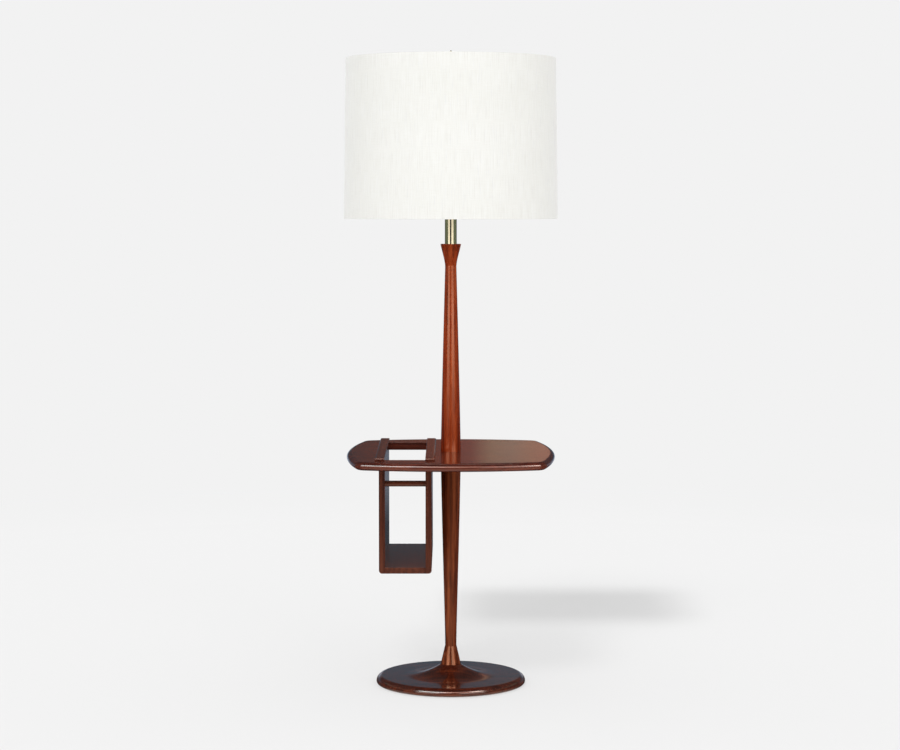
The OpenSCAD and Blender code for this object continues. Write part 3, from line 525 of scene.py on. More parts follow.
upper_waist_height = COLUMN_TOP - TOP_FLARE
upper_rise = upper_waist_height - TABLE_TOP
neck_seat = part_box("neck_tube")[0].z
NECK_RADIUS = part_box("neck_tube")[1].x
flare = FLARE_TOP_RADIUS - UPPER_WAIST
upper_outline = [
    (SPIGOT_RADIUS, TABLE_TOP - SPIGOT_LENGTH),
    (SPIGOT_RADIUS, TABLE_TOP - TINY),
    *sweep_curve(
        (SWELL, TABLE_TOP),
        (SWELL - (SWELL - UPPER_WAIST) * SWELL_PULL, TABLE_TOP + upper_rise * 0.5),
        (UPPER_WAIST, upper_waist_height - upper_rise * 0.02),
        (UPPER_WAIST, upper_waist_height), CURVE_STEPS,
    ),
    *sweep_curve(
        (UPPER_WAIST, upper_waist_height),
        (UPPER_WAIST + flare * 0.15, upper_waist_height + TOP_FLARE * 0.35),
        (FLARE_TOP_RADIUS - flare * 0.35, COLUMN_TOP - TOP_FLARE * 0.38),
        (FLARE_TOP_RADIUS, COLUMN_TOP - EDGE), CURVE_STEPS // 2,
    )[1:],
    *arc((FLARE_TOP_RADIUS - EDGE, COLUMN_TOP - EDGE), EDGE, 18, 90, 4),
    (NECK_RADIUS + NECK_FIT, COLUMN_TOP + TINY),
    (NECK_RADIUS + NECK_FIT, neck_seat),
    (SEAT_MIDDLE, neck_seat - TINY),
]
spindle("upper_spindle", upper_outline, walnut_upper, "upper_column")


# Table ------------------------------------------------------------------
# One walnut board with bowed sides and a bull-nosed edge all the way round.
# A slot is cut through it for the magazine rack. Three arcs that touch make
# each quarter of its outline: half an end, a corner and half the back.
TABLE_HALF_WIDTH = 0.2122       # without the round edge
TABLE_HALF_DEPTH = 0.2474
NOSE_DEPTH = 0.011              # of the half ellipse that rounds the edge
END_ROUND = 0.930
BOW_ROUND = 0.620
CORNER_ROUND = 0.015
SLOT_CORNER = 0.003
SLOT_GAP_X = 0.0015
SLOT_GAP_Y = 0.008
SLOT_EDGE = 0.0008              # rounding of the slot's edges
LEVEL_BAND = 0.0012             # flat band inside each rounded edge
BULLNOSE_STEPS = 20
OUTLINE_STEPS = (20, 14, 24)    # along half an end, a corner and half the back

rack_left, rack_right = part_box("rack_left_board")[0].x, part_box("rack_right_board")[1].x
rack_front, rack_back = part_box("rack_floor")[0].y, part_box("rack_floor")[1].y
half_board = (TABLE_TOP - TABLE_BOTTOM) / 2
end_middle = TABLE_HALF_WIDTH - END_ROUND
bow_middle = TABLE_HALF_DEPTH - BOW_ROUND
reach_a, reach_b = END_ROUND - CORNER_ROUND, BOW_ROUND - CORNER_ROUND
middle_gap = math.hypot(end_middle, bow_middle)
corner_along = (reach_a ** 2 - reach_b ** 2 + middle_gap ** 2) / (2 * middle_gap)
corner_across = math.sqrt(reach_a ** 2 - corner_along ** 2)
towards = (-end_middle / middle_gap, bow_middle / middle_gap)
corner_x = end_middle + corner_along * towards[0] - corner_across * towards[1]
corner_y = corner_along * towards[1] + corner_across * towards[0]
end_angle = math.degrees(math.atan2(corner_y, corner_x - end_middle))
bow_angle = math.degrees(math.atan2(corner_y - bow_middle, corner_x))


def board_outline(out):
    """The board's outline, drawn out by some distance from the line where its edge starts to round."""
    quarter = [
        *arc((end_middle, 0), END_ROUND + out, 0, end_angle, OUTLINE_STEPS[0]),
        *arc((corner_x, corner_y), CORNER_ROUND + out, end_angle, bow_angle, OUTLINE_STEPS[1])[1:],
        *arc((0, bow_middle), BOW_ROUND + out, bow_angle, 90, OUTLINE_STEPS[2])[1:],
    ]
    back = quarter[::-1][1:]
    return (
        quarter + [(-x, y) for x, y in back]
        + [(-x, -y) for x, y in quarter[1:]] + [(x, -y) for x, y in back[:-1]]
    )


def slot_outline(out):
    """The slot's outline, widened by some distance."""
    left, right = rack_left - SLOT_GAP_X - out, rack_right + SLOT_GAP_X + out
    front, back = rack_front - SLOT_GAP_Y - out, rack_back + SLOT_GAP_Y + out
    r = SLOT_CORNER + out
    return [
        *arc((right - r, back - r), r, 0, 90, 6),
        *arc((left + r, back - r), r, 90, 180, 6),
        *arc((left + r, front + r), r, 180, 270, 6),
        *arc((right - r, front + r), r, 270, 360, 6),
    ]


def skin(bm, rings, closed=False):
    """Faces between rings of points, one after another, and over both ends if closed."""
    made = [[bm.verts.new(p) for p in ring] for ring in rings]
    for here, there in zip(made, made[1:]):
        for k in range(len(here)):
            j = (k + 1) % len(here)
            bm.faces.new((here[k], here[j], there[j], there[k]))
    if closed:
        bm.faces.new(made[0])
        bm.faces.new(made[-1][::-1])
    return made[0], made[-1]


def level_rings(outline, profile):
    """Level rings of an outline, drawn out and raised along an edge's (out, height) profile."""
    return [[(x, y, height) for x, y in outline(out)] for out, height in profile]


def loop_edges(bm, ring):
    """The edges along a closed ring of vertices."""
    return [bm.edges.get((a, b)) or bm.edges.new((a, b)) for a, b in zip(ring, ring[1:] + ring[:1])]


middle_height = TABLE_BOTTOM + half_board
bullnose = arc((0, 0), 1, 90, -90, BULLNOSE_STEPS)
table_mesh = bmesh.new()
outer_top, outer_bottom = skin(table_mesh, level_rings(board_outline, [
    (-LEVEL_BAND, TABLE_TOP),
    *[(NOSE_DEPTH * out, middle_height + half_board * up) for out, up in bullnose],
    (-LEVEL_BAND, TABLE_BOTTOM),
]))
slot_top, slot_bottom = skin(table_mesh, level_rings(slot_outline, [
    (SLOT_EDGE + LEVEL_BAND, TABLE_TOP),
    *arc((SLOT_EDGE, TABLE_TOP - SLOT_EDGE), SLOT_EDGE, 90, 180, 4),
    *arc((SLOT_EDGE, TABLE_BOTTOM + SLOT_EDGE), SLOT_EDGE, 180, 270, 4),
    (SLOT_EDGE + LEVEL_BAND, TABLE_BOTTOM),
]))
for rim_ring, slot_ring in ((outer_top, slot_top), (outer_bottom, slot_bottom)):
    edges = loop_edges(table_mesh, rim_ring) + loop_edges(table_mesh, slot_ring)
    bmesh.ops.triangle_fill(table_mesh, edges=edges, use_beauty=True)
TABLE_TONES = ((0.050, 0.0080, 0.0050), (0.100, 0.0160, 0.0085), (0.160, 0.0310, 0.0140))
walnut_table = walnut("walnut of the table", ALONG_X, (0.9, 0.35, 0.15), TABLE_TONES, BOARD_GLOSS, 0.35)
finished("table_board", table_mesh, walnut_table, "stand", ["table_top"])


# Magazine rack ----------------------------------------------------------
# Half-inch walnut boards: two sides and a floor, glued and dowelled, with a
# round bar across the front and the back. It hangs through the table's slot
# from a rail on each side, and lifts out.
BOARD_LIP = 0.0015              # width and height of the lip round each end of a side board
FLOOR_EDGE = 0.0006             # rounding of the floor's edges
RACK_ROUND = 0.0065             # rounding along the rack's lower corners
RAIL_INNER_EDGE = 0.0003        # chamfer of the rails' inner edges
RAIL_EDGE_STEPS = 8
BAR_SIDES = 64
RACK_TONES = ((0.055, 0.0120, 0.0065), (0.085, 0.0190, 0.0095), (0.125, 0.030, 0.0135))
RAIL_TONES = ((0.035, 0.0060, 0.0035), (0.065, 0.0115, 0.0062), (0.12, 0.026, 0.012))


def side_board(outline, start, end, lip, steps=4):
    """A board along Y with an (x, z) outline. A rounded lip stands out round the face of each end."""
    spans = [(min(values), max(values)) for values in zip(*outline)]
    middle_x, middle_z = [(low + high) / 2 for low, high in spans]
    half_x, half_z = spans[0][1] - middle_x, spans[1][1] - middle_z

    def ring(y, inset):
        """The outline drawn in by scaling it about its middle."""
        sx, sz = 1 - inset / half_x, 1 - inset / half_z
        return [(middle_x + (x - middle_x) * sx, y, middle_z + (z - middle_z) * sz) for x, z in outline]

    profile = arc((lip, 0), lip, 90, 180, steps)
    front = [ring(start + deep, inset) for deep, inset in profile]
    back = [ring(end - deep, inset) for deep, inset in reversed(profile)]
    bm = bmesh.new()
    skin(bm, front + back, closed=True)
    return bm


def rounded_box(low, high, edge):
    """A box whose twelve edges are rounded."""
    bm = bmesh.new()
    corners = [[low[n], high[n]] for n in (0, 1, 2)]
    verts = [bm.verts.new((x, y, z)) for x in corners[0] for y in corners[1] for z in corners[2]]
    for face in ((0, 1, 3, 2), (4, 6, 7, 5), (0, 4, 5, 1), (2, 3, 7, 6), (0, 2, 6, 4), (1, 5, 7, 3)):
        bm.faces.new([verts[k] for k in face])
    bmesh.ops.recalc_face_normals(bm, faces=bm.faces)
    bmesh.ops.bevel(bm, geom=list(bm.edges), offset=edge, segments=4, profile=0.5, affect="EDGES")
    return bm


walnut_upright = walnut(
    "walnut of the rack's sides", ALONG_Z, (0.2, 0.8, 0.1), RACK_TONES, BOARD_GLOSS, 0.3)
walnut_level = walnut(
    "walnut of the rack's floor", ALONG_Y, (0.6, 0.1, 0.4), RACK_TONES, BOARD_GLOSS, 0.3)
walnut_rail = walnut(
    "walnut of the rails and bars", ALONG_Y, (0.15, 0.5, 0.9), RAIL_TONES, BOARD_GLOSS, 0.3)
walnut_bar = walnut(
    "walnut of the crossbars", ALONG_X, (0.35, 0.2, 0.6), BOARD_TONES, BOARD_GLOSS, 0.2)
HANDS = (("left", -1), ("right", 1))


def inner_outer(low, high, way):
    """The x of a piece's inner and outer side. way is -1 on the left and 1 on the right."""
    return (high.x, low.x) if way < 0 else (low.x, high.x)


for hand, way in HANDS:
    low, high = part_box("rack_" + hand + "_board")
    inner_x, outer_x = inner_outer(low, high, way)
    corner = (outer_x - way * RACK_ROUND, low.z + RACK_ROUND)
    side_outline = [
        (inner_x, low.z), *arc(corner, RACK_ROUND, 270, 270 + way * 90, 10),
        (outer_x, high.z), (inner_x, high.z),
    ]
    side = side_board(side_outline, low.y, high.y, BOARD_LIP)
    finished("rack_" + hand + "_side", side, walnut_upright, "rack", ["rack_" + hand + "_board"])

low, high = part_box("rack_floor")
floor_board = rounded_box(low, high, FLOOR_EDGE)
finished("rack_bottom", floor_board, walnut_level, "rack", ["rack_floor"])

for hand, way in HANDS:
    low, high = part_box("rack_" + hand + "_rail")
    inner_x, outer_x = inner_outer(low, high, way)
    rail_round = (high.z - low.z) / 2
    shoulder = (0, high.z - rail_round)
    nose = [(rail_round - across, z) for across, z in arc(shoulder, rail_round, 0, 90, RAIL_EDGE_STEPS)]
    rail_outline = [
        (inner_x, low.z), (outer_x, low.z), *[(outer_x - way * along, z) for along, z in nose],
        (inner_x + way * RAIL_INNER_EDGE, high.z), (inner_x, high.z - RAIL_INNER_EDGE),
    ]
    stations = [(low.y + along, top) for along, top in nose]
    stations += [(high.y - along, top) for along, top in reversed(nose)]
    rail = bmesh.new()
    skin(rail, [[(x, y, min(z, top)) for x, z in rail_outline] for y, top in stations], closed=True)
    finished(hand + "_rail", rail, walnut_rail, "rack", ["rack_" + hand + "_rail"])

for name in ("front_bar", "back_bar"):
    low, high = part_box("rack_" + name)
    radius = (high.z - low.z) / 2
    bar = lathe(bmesh.new(), [(0, low.x), (radius, low.x), (radius, high.x), (0, high.x)], BAR_SIDES)
    for vert in bar.verts:
        x, y, z = vert.co
        vert.co = (z, (low.y + high.y) / 2 + x, (low.z + high.z) / 2 + y)
    finished(name, bar, walnut_bar, "rack", ["rack_" + name])

dressed("rack_pins", finish_of("beech dowel", roughness=0.6, base_color=(0.5, 0.35, 0.2, 1))[0])


# Neck -------------------------------------------------------------------
# A tube of drawn brass let into the column's top, with a turned cap. It is
# lacquered and a little dulled by age, and it hides the lamp's steel pipe.
NECK_WALL = 0.001
NECK_EDGE = 0.0003
CAP_ROUND = 0.0015
PIPE_FIT = 0.00505              # radius of the holes for the lamp's pipe
neck_bottom, neck_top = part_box("neck_tube")[0].z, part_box("neck_tube")[1].z
cap_radius, cap_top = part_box("neck_cap")[1].x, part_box("neck_cap")[1].z
cap_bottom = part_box("neck_cap")[0].z
brass = plated("aged brass", (0.60, 0.52, 0.35), 0.09, 0.02)
turned("neck", [
    (NECK_RADIUS - NECK_WALL, neck_bottom), (NECK_RADIUS, neck_bottom),
    *arc((NECK_RADIUS - NECK_EDGE, neck_top - NECK_EDGE), NECK_EDGE, 0, 90, 3),
    (NECK_RADIUS - NECK_WALL, neck_top),
], brass, "stand", ["neck_tube"])
turned("neck_top_cap", [
    (PIPE_FIT, cap_bottom), (NECK_RADIUS - NECK_WALL - NECK_FIT, cap_bottom),
    (NECK_RADIUS - NECK_WALL - NECK_FIT, neck_top), (cap_radius, neck_top),
    *arc((cap_radius - CAP_ROUND, cap_top - CAP_ROUND), CAP_ROUND, 0, 90, 6),
    (PIPE_FIT, cap_top),
], brass, "stand", ["neck_cap"])


# Harp -------------------------------------------------------------------
# A loop of stiff brass wire that carries the shade. Its feet stand beside
# the tabs of a saddle under the lamp holder, locked by two sliding sleeves.
WIRE = 0.0016
FOOT_SPACING = 0.048
WIRE_OFFSET = 0.00075           # from a sleeve's axis, outwards
LEAN = math.radians(50)
OUT_BEND, BACK_BEND, SHOULDER = 0.012, 0.030, 0.048
HARP_STRAIGHT = 0.020
SLEEVE_WALL = 0.0007
SLEEVE_EDGE = 0.0003
SLEEVE_SIDES = 48
WIRE_SIDES = 16
BEND_STEP = math.radians(6)
harp_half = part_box("harp_wire")[1].x - WIRE
harp_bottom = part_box("harp_wire")[0].z
harp_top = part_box("harp_wire")[1].z - WIRE


def wire_route(steps, x, z):
    """Points of half the harp. A step is a straight length, or a bend's radius and angle."""
    heading, points = 0.0, [(x, z)]
    for step in steps:
        if len(step) == 1:
            x, z = x + step[0] * math.sin(heading), z + step[0] * math.cos(heading)
            points.append((x, z))
            continue
        radius, angle = step
        r = math.copysign(radius, angle)
        centre = (x + r * math.cos(heading), z - r * math.sin(heading))
        count = math.ceil(abs(angle) / BEND_STEP)
        for k in range(1, count + 1):
            h = heading + angle * k / count
            points.append((centre[0] - r * math.cos(h), centre[1] + r * math.sin(h)))
        heading += angle
        x, z = points[-1]
    return points


bend_width = (OUT_BEND + BACK_BEND) * (1 - math.cos(LEAN))
bend_height = (OUT_BEND + BACK_BEND) * math.sin(LEAN)
harp_foot = FOOT_SPACING / 2 + WIRE_OFFSET
slant = (harp_half - harp_foot - bend_width) / math.sin(LEAN)
upright = harp_top - harp_bottom - HARP_STRAIGHT - bend_height - slant * math.cos(LEAN) - SHOULDER
half_route = wire_route([
    [HARP_STRAIGHT], [OUT_BEND, LEAN], [slant], [BACK_BEND, -LEAN], [upright],
    [SHOULDER, -math.pi / 2], [harp_half - SHOULDER],
], harp_foot, harp_bottom)
harp_points = [(x, 0, z) for x, z in half_route] + [(-x, 0, z) for x, z in half_route[-2::-1]]
plain_piece(swept("harp_loop", harp_points, WIRE, WIRE_SIDES, brass), "stand", ["harp_wire"])

low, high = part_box("harp_sleeves")
sleeve_outer = (high.y - low.y) / 2
sleeve_inner = sleeve_outer - SLEEVE_WALL
sleeve_outline = [
    (sleeve_inner, low.z), (sleeve_outer - SLEEVE_EDGE, low.z), (sleeve_outer, low.z + SLEEVE_EDGE),
    (sleeve_outer, high.z - SLEEVE_EDGE), (sleeve_outer - SLEEVE_EDGE, high.z), (sleeve_inner, high.z),
]
sleeves = bmesh.new()
for way in (-1, 1):
    lathe(sleeves, sleeve_outline, SLEEVE_SIDES, (way * FOOT_SPACING / 2, 0))
finished("harp_lock_sleeves", sleeves, brass, "stand", ["harp_sleeves"])
dressed("harp_saddle", brass)
dressed("harp_stud", brass)


# Lamp holder and switch -------------------------------------------------
# A spun brass cap and shell round a moulded body. The stem of the switch
# comes out of its side, towards the front, with a grooved knob to turn.
HOLDER_WALL = 0.0007
HUB_HEIGHT = 0.008
HUB_RADIUS = 0.008
LIP_HEIGHT = 0.006              # of the cap's straight wall
BEAD = 0.0012                   # round the shell's lip
SMALL_SIDES = 96                # steps round a small turned piece
cap_low, cap_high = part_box("socket_cap")
shell_low, shell_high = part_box("socket_shell")
holder_radius = cap_high.x
holder_lip = cap_high.z - LIP_HEIGHT
dome = cap_low.z + HUB_HEIGHT / 2
satin_brass = plated("spun brass", (0.66, 0.53, 0.30), 0.22, 0.05)
outside = sweep_curve(
    (HUB_RADIUS, dome), (HUB_RADIUS + 0.006, dome + 0.0005),
    (holder_radius, holder_lip - 0.006), (holder_radius, holder_lip), 14,
)
inside = [(max(r - HOLDER_WALL, PIPE_FIT), z + 0.0002) for r, z in outside]
turned("holder_cap", [
    (PIPE_FIT, cap_low.z), (HUB_RADIUS, cap_low.z), *outside,
    (holder_radius, cap_high.z), (holder_radius - HOLDER_WALL, cap_high.z), *inside[::-1],
    (HUB_RADIUS - HOLDER_WALL, cap_low.z + HUB_HEIGHT), (PIPE_FIT, cap_low.z + HUB_HEIGHT),
], satin_brass, "stand", ["socket_cap"], SMALL_SIDES)

shell_radius = shell_high.x - BEAD
bead_middle = shell_high.z - BEAD
turned("holder_shell", [
    (shell_radius - HOLDER_WALL, shell_low.z), (shell_radius, shell_low.z),
    *arc((shell_radius, bead_middle), BEAD, -90, 90, 12)[1:],
    (shell_radius - HOLDER_WALL, shell_high.z),
], satin_brass, "stand", ["socket_shell"], SMALL_SIDES)
dressed("socket_thread", satin_brass)
dressed("switch_stem", brass)

fibre_board = finish_of("pressed paperboard", roughness=0.85, base_color=(0.45, 0.34, 0.2, 1))[0]
dressed("socket_liner", fibre_board)
moulding = mottled(
    "black moulding", 300.0, 3.0, [(0.4, (0.012, 0.011, 0.010)), (0.6, (0.03, 0.026, 0.022))],
    roughness=0.28, coat_weight=0.3)
dressed("socket_core", moulding)

KNOB_GROOVES = 10
KNOB_SIDES = 12                 # steps from groove to groove
GROOVE_DEPTH = 0.0009
KNOB_COLLAR = 0.0020            # plain band at the knob's back
KNOB_BACK_EDGE = 0.0006
KNOB_ROUND = 0.0010             # towards the knob's face
low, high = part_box("switch_knob")
knob_radius = (high.x - low.x) / 2
knob_middle = (low.z + high.z) / 2


def knob_ring(y, inset, groove):
    """A ring round the knob's axis, with its grooves cut to a depth."""
    ring = []
    for k in range(KNOB_GROOVES * KNOB_SIDES):
        a = math.tau * k / (KNOB_GROOVES * KNOB_SIDES)
        r = knob_radius - inset - groove * max(0.0, math.cos(a * KNOB_GROOVES)) ** 3
        ring.append((r * math.cos(a), y, knob_middle + r * math.sin(a)))
    return ring


face_start = low.y + KNOB_ROUND
knob_profile = [
    (high.y, KNOB_BACK_EDGE, 0), (high.y - KNOB_BACK_EDGE, 0, 0), (high.y - KNOB_COLLAR, 0, 0),
    (high.y - KNOB_COLLAR - KNOB_BACK_EDGE, 0, GROOVE_DEPTH), (face_start, 0, GROOVE_DEPTH),
    *[(face_start - KNOB_ROUND * math.sin(a), KNOB_ROUND * (1 - math.cos(a)), GROOVE_DEPTH)
      for a in (0.4, 0.8, 1.2, 1.55)],
]
knob_mesh = bmesh.new()
skin(knob_mesh, [knob_ring(*row) for row in knob_profile], closed=True)
finished("knob", knob_mesh, moulding, "switch", ["switch_knob"])


# Bulb -------------------------------------------------------------------
# A bulb of blown and frosted glass, cemented to a screw base of bright
# pressed aluminium and screwed into the lamp holder.
GLASS_JOIN = 35                 # degrees under the ball's equator
GLASS_WALL = 0.0008
THROAT_WALL = 0.00055           # of the base, round the glass
NECK_CURVE = 0.45               # how far the glass follows the ball's slope below the join
low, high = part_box("bulb_glass")
base_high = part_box("bulb_base")[1]
ball = high.x
ball_middle = high.z - ball
throat = base_high.x - THROAT_WALL
slant_x, slant_z = ball * math.cos(math.radians(GLASS_JOIN)), ball * math.sin(math.radians(GLASS_JOIN))
join = (slant_x, ball_middle - slant_z)
glass_outside = [
    (throat, low.z),
    *sweep_curve(
        (throat, base_high.z), (throat, base_high.z + (join[1] - base_high.z) * 0.4),
        (join[0] - NECK_CURVE * slant_z, join[1] - NECK_CURVE * slant_x), join, 16,
    ),
    *arc((0, ball_middle), ball, -GLASS_JOIN, 90, 30)[1:-1],
    (0, high.z),
]
glass_inside = [(max(r - GLASS_WALL, 0), z) for r, z in glass_outside[:-2]] + [(0, high.z - GLASS_WALL)]
frosted = finish_of(
    "frosted glass", roughness=0.28, base_color=(0.86, 0.86, 0.84, 1), coat_weight=0.5, coat_roughness=0.1,
    subsurface_weight=0.3, transmission_weight=0.15,
)[0]
turned("bulb", glass_outside + glass_inside[::-1],
       frosted, "stand", ["bulb_glass"], SMALL_SIDES)
dressed("bulb_base", plated("bright aluminium", (0.80, 0.80, 0.79), 0.22, 0.05))


# Shade ------------------------------------------------------------------
# A drum of slubbed linen laminated to a stiff white lining. The linen is
# turned in over a ring of enamelled wire at the top and at the bottom. The
# upper ring has three arms to a washer that sits on the harp.
SHADE_SIDES = 256
LINEN = 0.0006
LINING = 0.0008
FRAME_WIRE = 0.0016
RING_SIDES = 12
low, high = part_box("shade_fabric")
shade_bottom, shade_top = low.z, high.z
BOTTOM_RADIUS = high.x
TOP_RADIUS = 0.2238
slope = (TOP_RADIUS - BOTTOM_RADIUS) / (shade_top - shade_bottom)


def shade_radius(height, inset=0.0):
    """The drum's outer radius at a height, drawn in by an inset."""
    return BOTTOM_RADIUS + slope * (height - shade_bottom) - inset


linen, tree, shader = finish_of(
    "slubbed linen", roughness=0.9, specular_ior_level=0.2, sheen_weight=0.7, sheen_roughness=0.4)
WEAVE = 1250.0 / 6.3            # scale of the weave's waves, about 630 threads to a metre
cloth = add(tree, "ShaderNodeUVMap", uv_map="cloth")
slubs = noise(tree, place_in(tree, cloth, Scale=(1.0, 0.03, 1.0)), 620.0, 3.0, 0.62)
picks = noise(tree, place_in(tree, cloth, Scale=(0.05, 1.0, 1.0)), 700.0, 2.0, 0.6)
warp, weft = [waves(tree, cloth, way, WEAVE, 0.6, 1.0, 3.0) for way in "XY"]
slub_tone = ramp(tree, slubs, [
    (0.34, (0.850, 0.843, 0.805)), (0.50, (0.895, 0.892, 0.855)), (0.66, (0.915, 0.914, 0.885))])
pick_tone = ramp(tree, picks, [(0.3, (0.975, 0.973, 0.965)), (0.6, (1, 1, 1))])
cloud_tone = ramp(tree, noise(tree, cloth, 9.0, 3.0), [(0.35, (0.985, 0.985, 0.98)), (0.65, (1, 1, 1))])
feed(tree, shader, (blend(tree, blend(tree, warp, weft, 0.5), slubs, 0.45), 0.25, 0.0005),
     base_color=multiply(tree, multiply(tree, slub_tone, pick_tone), cloud_tone))

TURN_IN = 0.010                 # how far the linen is turned in at each edge
CLOTH_GAP = 0.00003             # between the linen and what it lies on
EDGE_TURN = 0.0006              # radius of the linen's turn at the drum's edges
LAP_RINGS = range(64, 67)       # where the linen's two ends lap, at the back
LAP_RISE = 0.00045              # how far the upper end stands out there
WALL_STEPS = 8
spider_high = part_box("shade_spider")[1]
upper_ring = spider_high.x - FRAME_WIRE
ring_height = spider_high.z - FRAME_WIRE
lower_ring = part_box("shade_bottom_ring")[1].x - FRAME_WIRE
lower_ring_height = shade_bottom + FRAME_WIRE


def hem(edge, ring, ring_at, way):
    """The linen's middle line from its outer wall round a ring. way is 1 below and -1 above."""
    half = LINEN / 2
    wrap = FRAME_WIRE + CLOTH_GAP + half
    inner_wall = shade_radius(edge, LINEN + LINING + 3 * CLOTH_GAP + half)
    tuck = inner_wall - ring
    wall = shade_radius(edge, half)
    turn = arc((wall - EDGE_TURN, 0), EDGE_TURN, 0, -90, 4)
    line = [(r, edge + way * (z + EDGE_TURN + FRAME_WIRE - wrap)) for r, z in turn]
    line += [(r, ring_at + way * z) for r, z in arc((ring, 0), wrap, -90, -270, 14)]
    line += [(r, ring_at + way * (wrap + tuck + z)) for r, z in arc((ring, 0), tuck, -90, 0, 6)[1:]]
    line.append((inner_wall, edge + way * TURN_IN))
    return line


def drum(line):
    """The linen as a closed thin shell round its middle line, with a cloth map in metres."""
    run = [0.0]
    for a, b in zip(line, line[1:]):
        run.append(run[-1] + math.dist(a, b))
    outside, inside = [], []
    for k, (r, z) in enumerate(line):
        before, after = line[max(k - 1, 0)], line[min(k + 1, len(line) - 1)]
        length = math.dist(before, after)
        out = ((after[1] - before[1]) / length * LINEN / 2, -(after[0] - before[0]) / length * LINEN / 2)
        outside.append((r - out[0], z - out[1]))
        inside.append((r + out[0], z + out[1]))
    outline, up = outside + inside[::-1], run + run[::-1]
    bm = lathe(bmesh.new(), outline, SHADE_SIDES)
    bm.verts.index_update()
    layer = bm.loops.layers.uv.new("cloth")
    step = math.tau * BOTTOM_RADIUS / SHADE_SIDES
    for face in bm.faces:
        wraps = any(loop.vert.index // len(outline) == SHADE_SIDES - 1 for loop in face.loops)
        for loop in face.loops:
            k, i = divmod(loop.vert.index, len(outline))
            loop[layer].uv = ((SHADE_SIDES if wraps and k == 0 else k) * step, up[i])
    for vert in bm.verts:
        outer = math.hypot(vert.co.x, vert.co.y) > shade_radius(vert.co.z, 0.0001)
        if outer and vert.index // len(outline) in LAP_RINGS:
            vert.co.y += LAP_RISE
    return bm


upper_hem = hem(shade_top, upper_ring, ring_height, -1)
lower_hem = hem(shade_bottom, lower_ring, lower_ring_height, 1)
wall_low, wall_high = lower_hem[0][1], upper_hem[0][1]
wall_heights = [wall_low + (wall_high - wall_low) * k / WALL_STEPS for k in range(1, WALL_STEPS)]
cloth_line = lower_hem[::-1] + [(shade_radius(z, LINEN / 2), z) for z in wall_heights] + upper_hem
cover = finished("linen_cover", drum(cloth_line), linen, "shade", ["shade_fabric"])


def maths(tree, way, a, b=0.0):
    """Two numbers taken together in some way, or one worked on."""
    return add(tree, "ShaderNodeMath", {0: a, 1: b}, operation=way)


def between_two(tree, low, high, seed):
    """A random number between two others, for each point."""
    return add(tree, "FunctionNodeRandomValue", {2: low, 3: high, "Seed": seed}, data_type="FLOAT").outputs[1]


def slub_tree(inputs):
    """Strews slubs, the thick places of hand-spun yarn, upright over a tapered drum."""
    tree, given = piece_tree("slubs on a drum", inputs)
    wall = add(tree, "GeometryNodeMeshCone", {
        "Vertices": 96, "Radius Top": given["Top radius"], "Radius Bottom": given["Bottom radius"],
        "Depth": given["Height"],
    }, fill_type="NONE")
    lift = add(tree, "ShaderNodeCombineXYZ", {"Z": given["Bottom"]})
    strewn = add(tree, "GeometryNodeDistributePointsOnFaces", {
        "Mesh": add(tree, "GeometryNodeTransform", {"Geometry": wall, "Translation": lift}),
        "Density": given["Slubs to a square metre"], "Seed": given["Seed"],
    }, distribute_method="RANDOM")
    facing = strewn.outputs["Normal"]
    rise = add(tree, "ShaderNodeVectorMath", {0: facing, 1: (0, 0, 1)}, operation="DOT_PRODUCT")
    across = add(tree, "ShaderNodeVectorMath", {0: facing, "Scale": rise.outputs["Value"]}, operation="SCALE")
    up = add(tree, "ShaderNodeVectorMath", {0: (0, 0, 1), 1: across}, operation="SUBTRACT")
    upright = add(tree, "FunctionNodeAlignRotationToVector", {"Vector": up}, axis="Z")
    line = add(tree, "GeometryNodeCurvePrimitiveLine", {"Start": (0, 0, -0.5), "End": (0, 0, 0.5)})
    along = add(tree, "GeometryNodeSplineParameter").outputs["Factor"]
    slub = add(tree, "GeometryNodeCurveToMesh", {
        "Curve": add(tree, "GeometryNodeResampleCurve", {"Curve": line, "Count": 7}),
        "Profile Curve": add(tree, "GeometryNodeCurvePrimitiveCircle", {"Resolution": 5, "Radius": 1.0}),
        "Scale": maths(tree, "SINE", maths(tree, "MULTIPLY", along, math.pi)),
    })
    thick = between_two(tree, given["Thinnest"], given["Thickest"], 1)
    long = between_two(tree, given["Shortest"], given["Longest"], 2)
    laid = add(tree, "GeometryNodeInstanceOnPoints", {
        "Points": strewn, "Rotation": upright,
        "Instance": add(tree, "GeometryNodeMergeByDistance", {"Geometry": slub, "Distance": 0.001}),
        "Scale": add(tree, "ShaderNodeCombineXYZ", {"X": thick, "Y": thick, "Z": long}),
    })
    return end_tree(tree, laid, given["Yarn"])


SLUB_MARGIN = 0.022             # from the shade's edges to the slubs' middles
slub_bottom, slub_top = shade_bottom + SLUB_MARGIN, shade_top - SLUB_MARGIN
slub_yarn = mottled(
    "slub yarn", 60.0, 3.0, [(0.3, (0.84, 0.83, 0.785)), (0.7, (0.90, 0.895, 0.86))],
    roughness=0.9, specular_ior_level=0.2, sheen_weight=0.35, sheen_roughness=0.4)
strewing = {
    "Bottom radius": shade_radius(slub_bottom), "Top radius": shade_radius(slub_top),
    "Height": shade_top - shade_bottom - 2 * SLUB_MARGIN, "Bottom": slub_bottom,
    "Slubs to a square metre": 2600.0, "Shortest": 0.012, "Longest": 0.040,
    "Thinnest": 0.00012, "Thickest": 0.00030, "Seed": 7, "Yarn": slub_yarn,
}
slub_mesh = grown("linen_slubs", bpy.data.meshes.new("slub ground"), slub_tree(strewing), strewing)
slub_piece = plain_piece(slub_mesh, "shade", ())

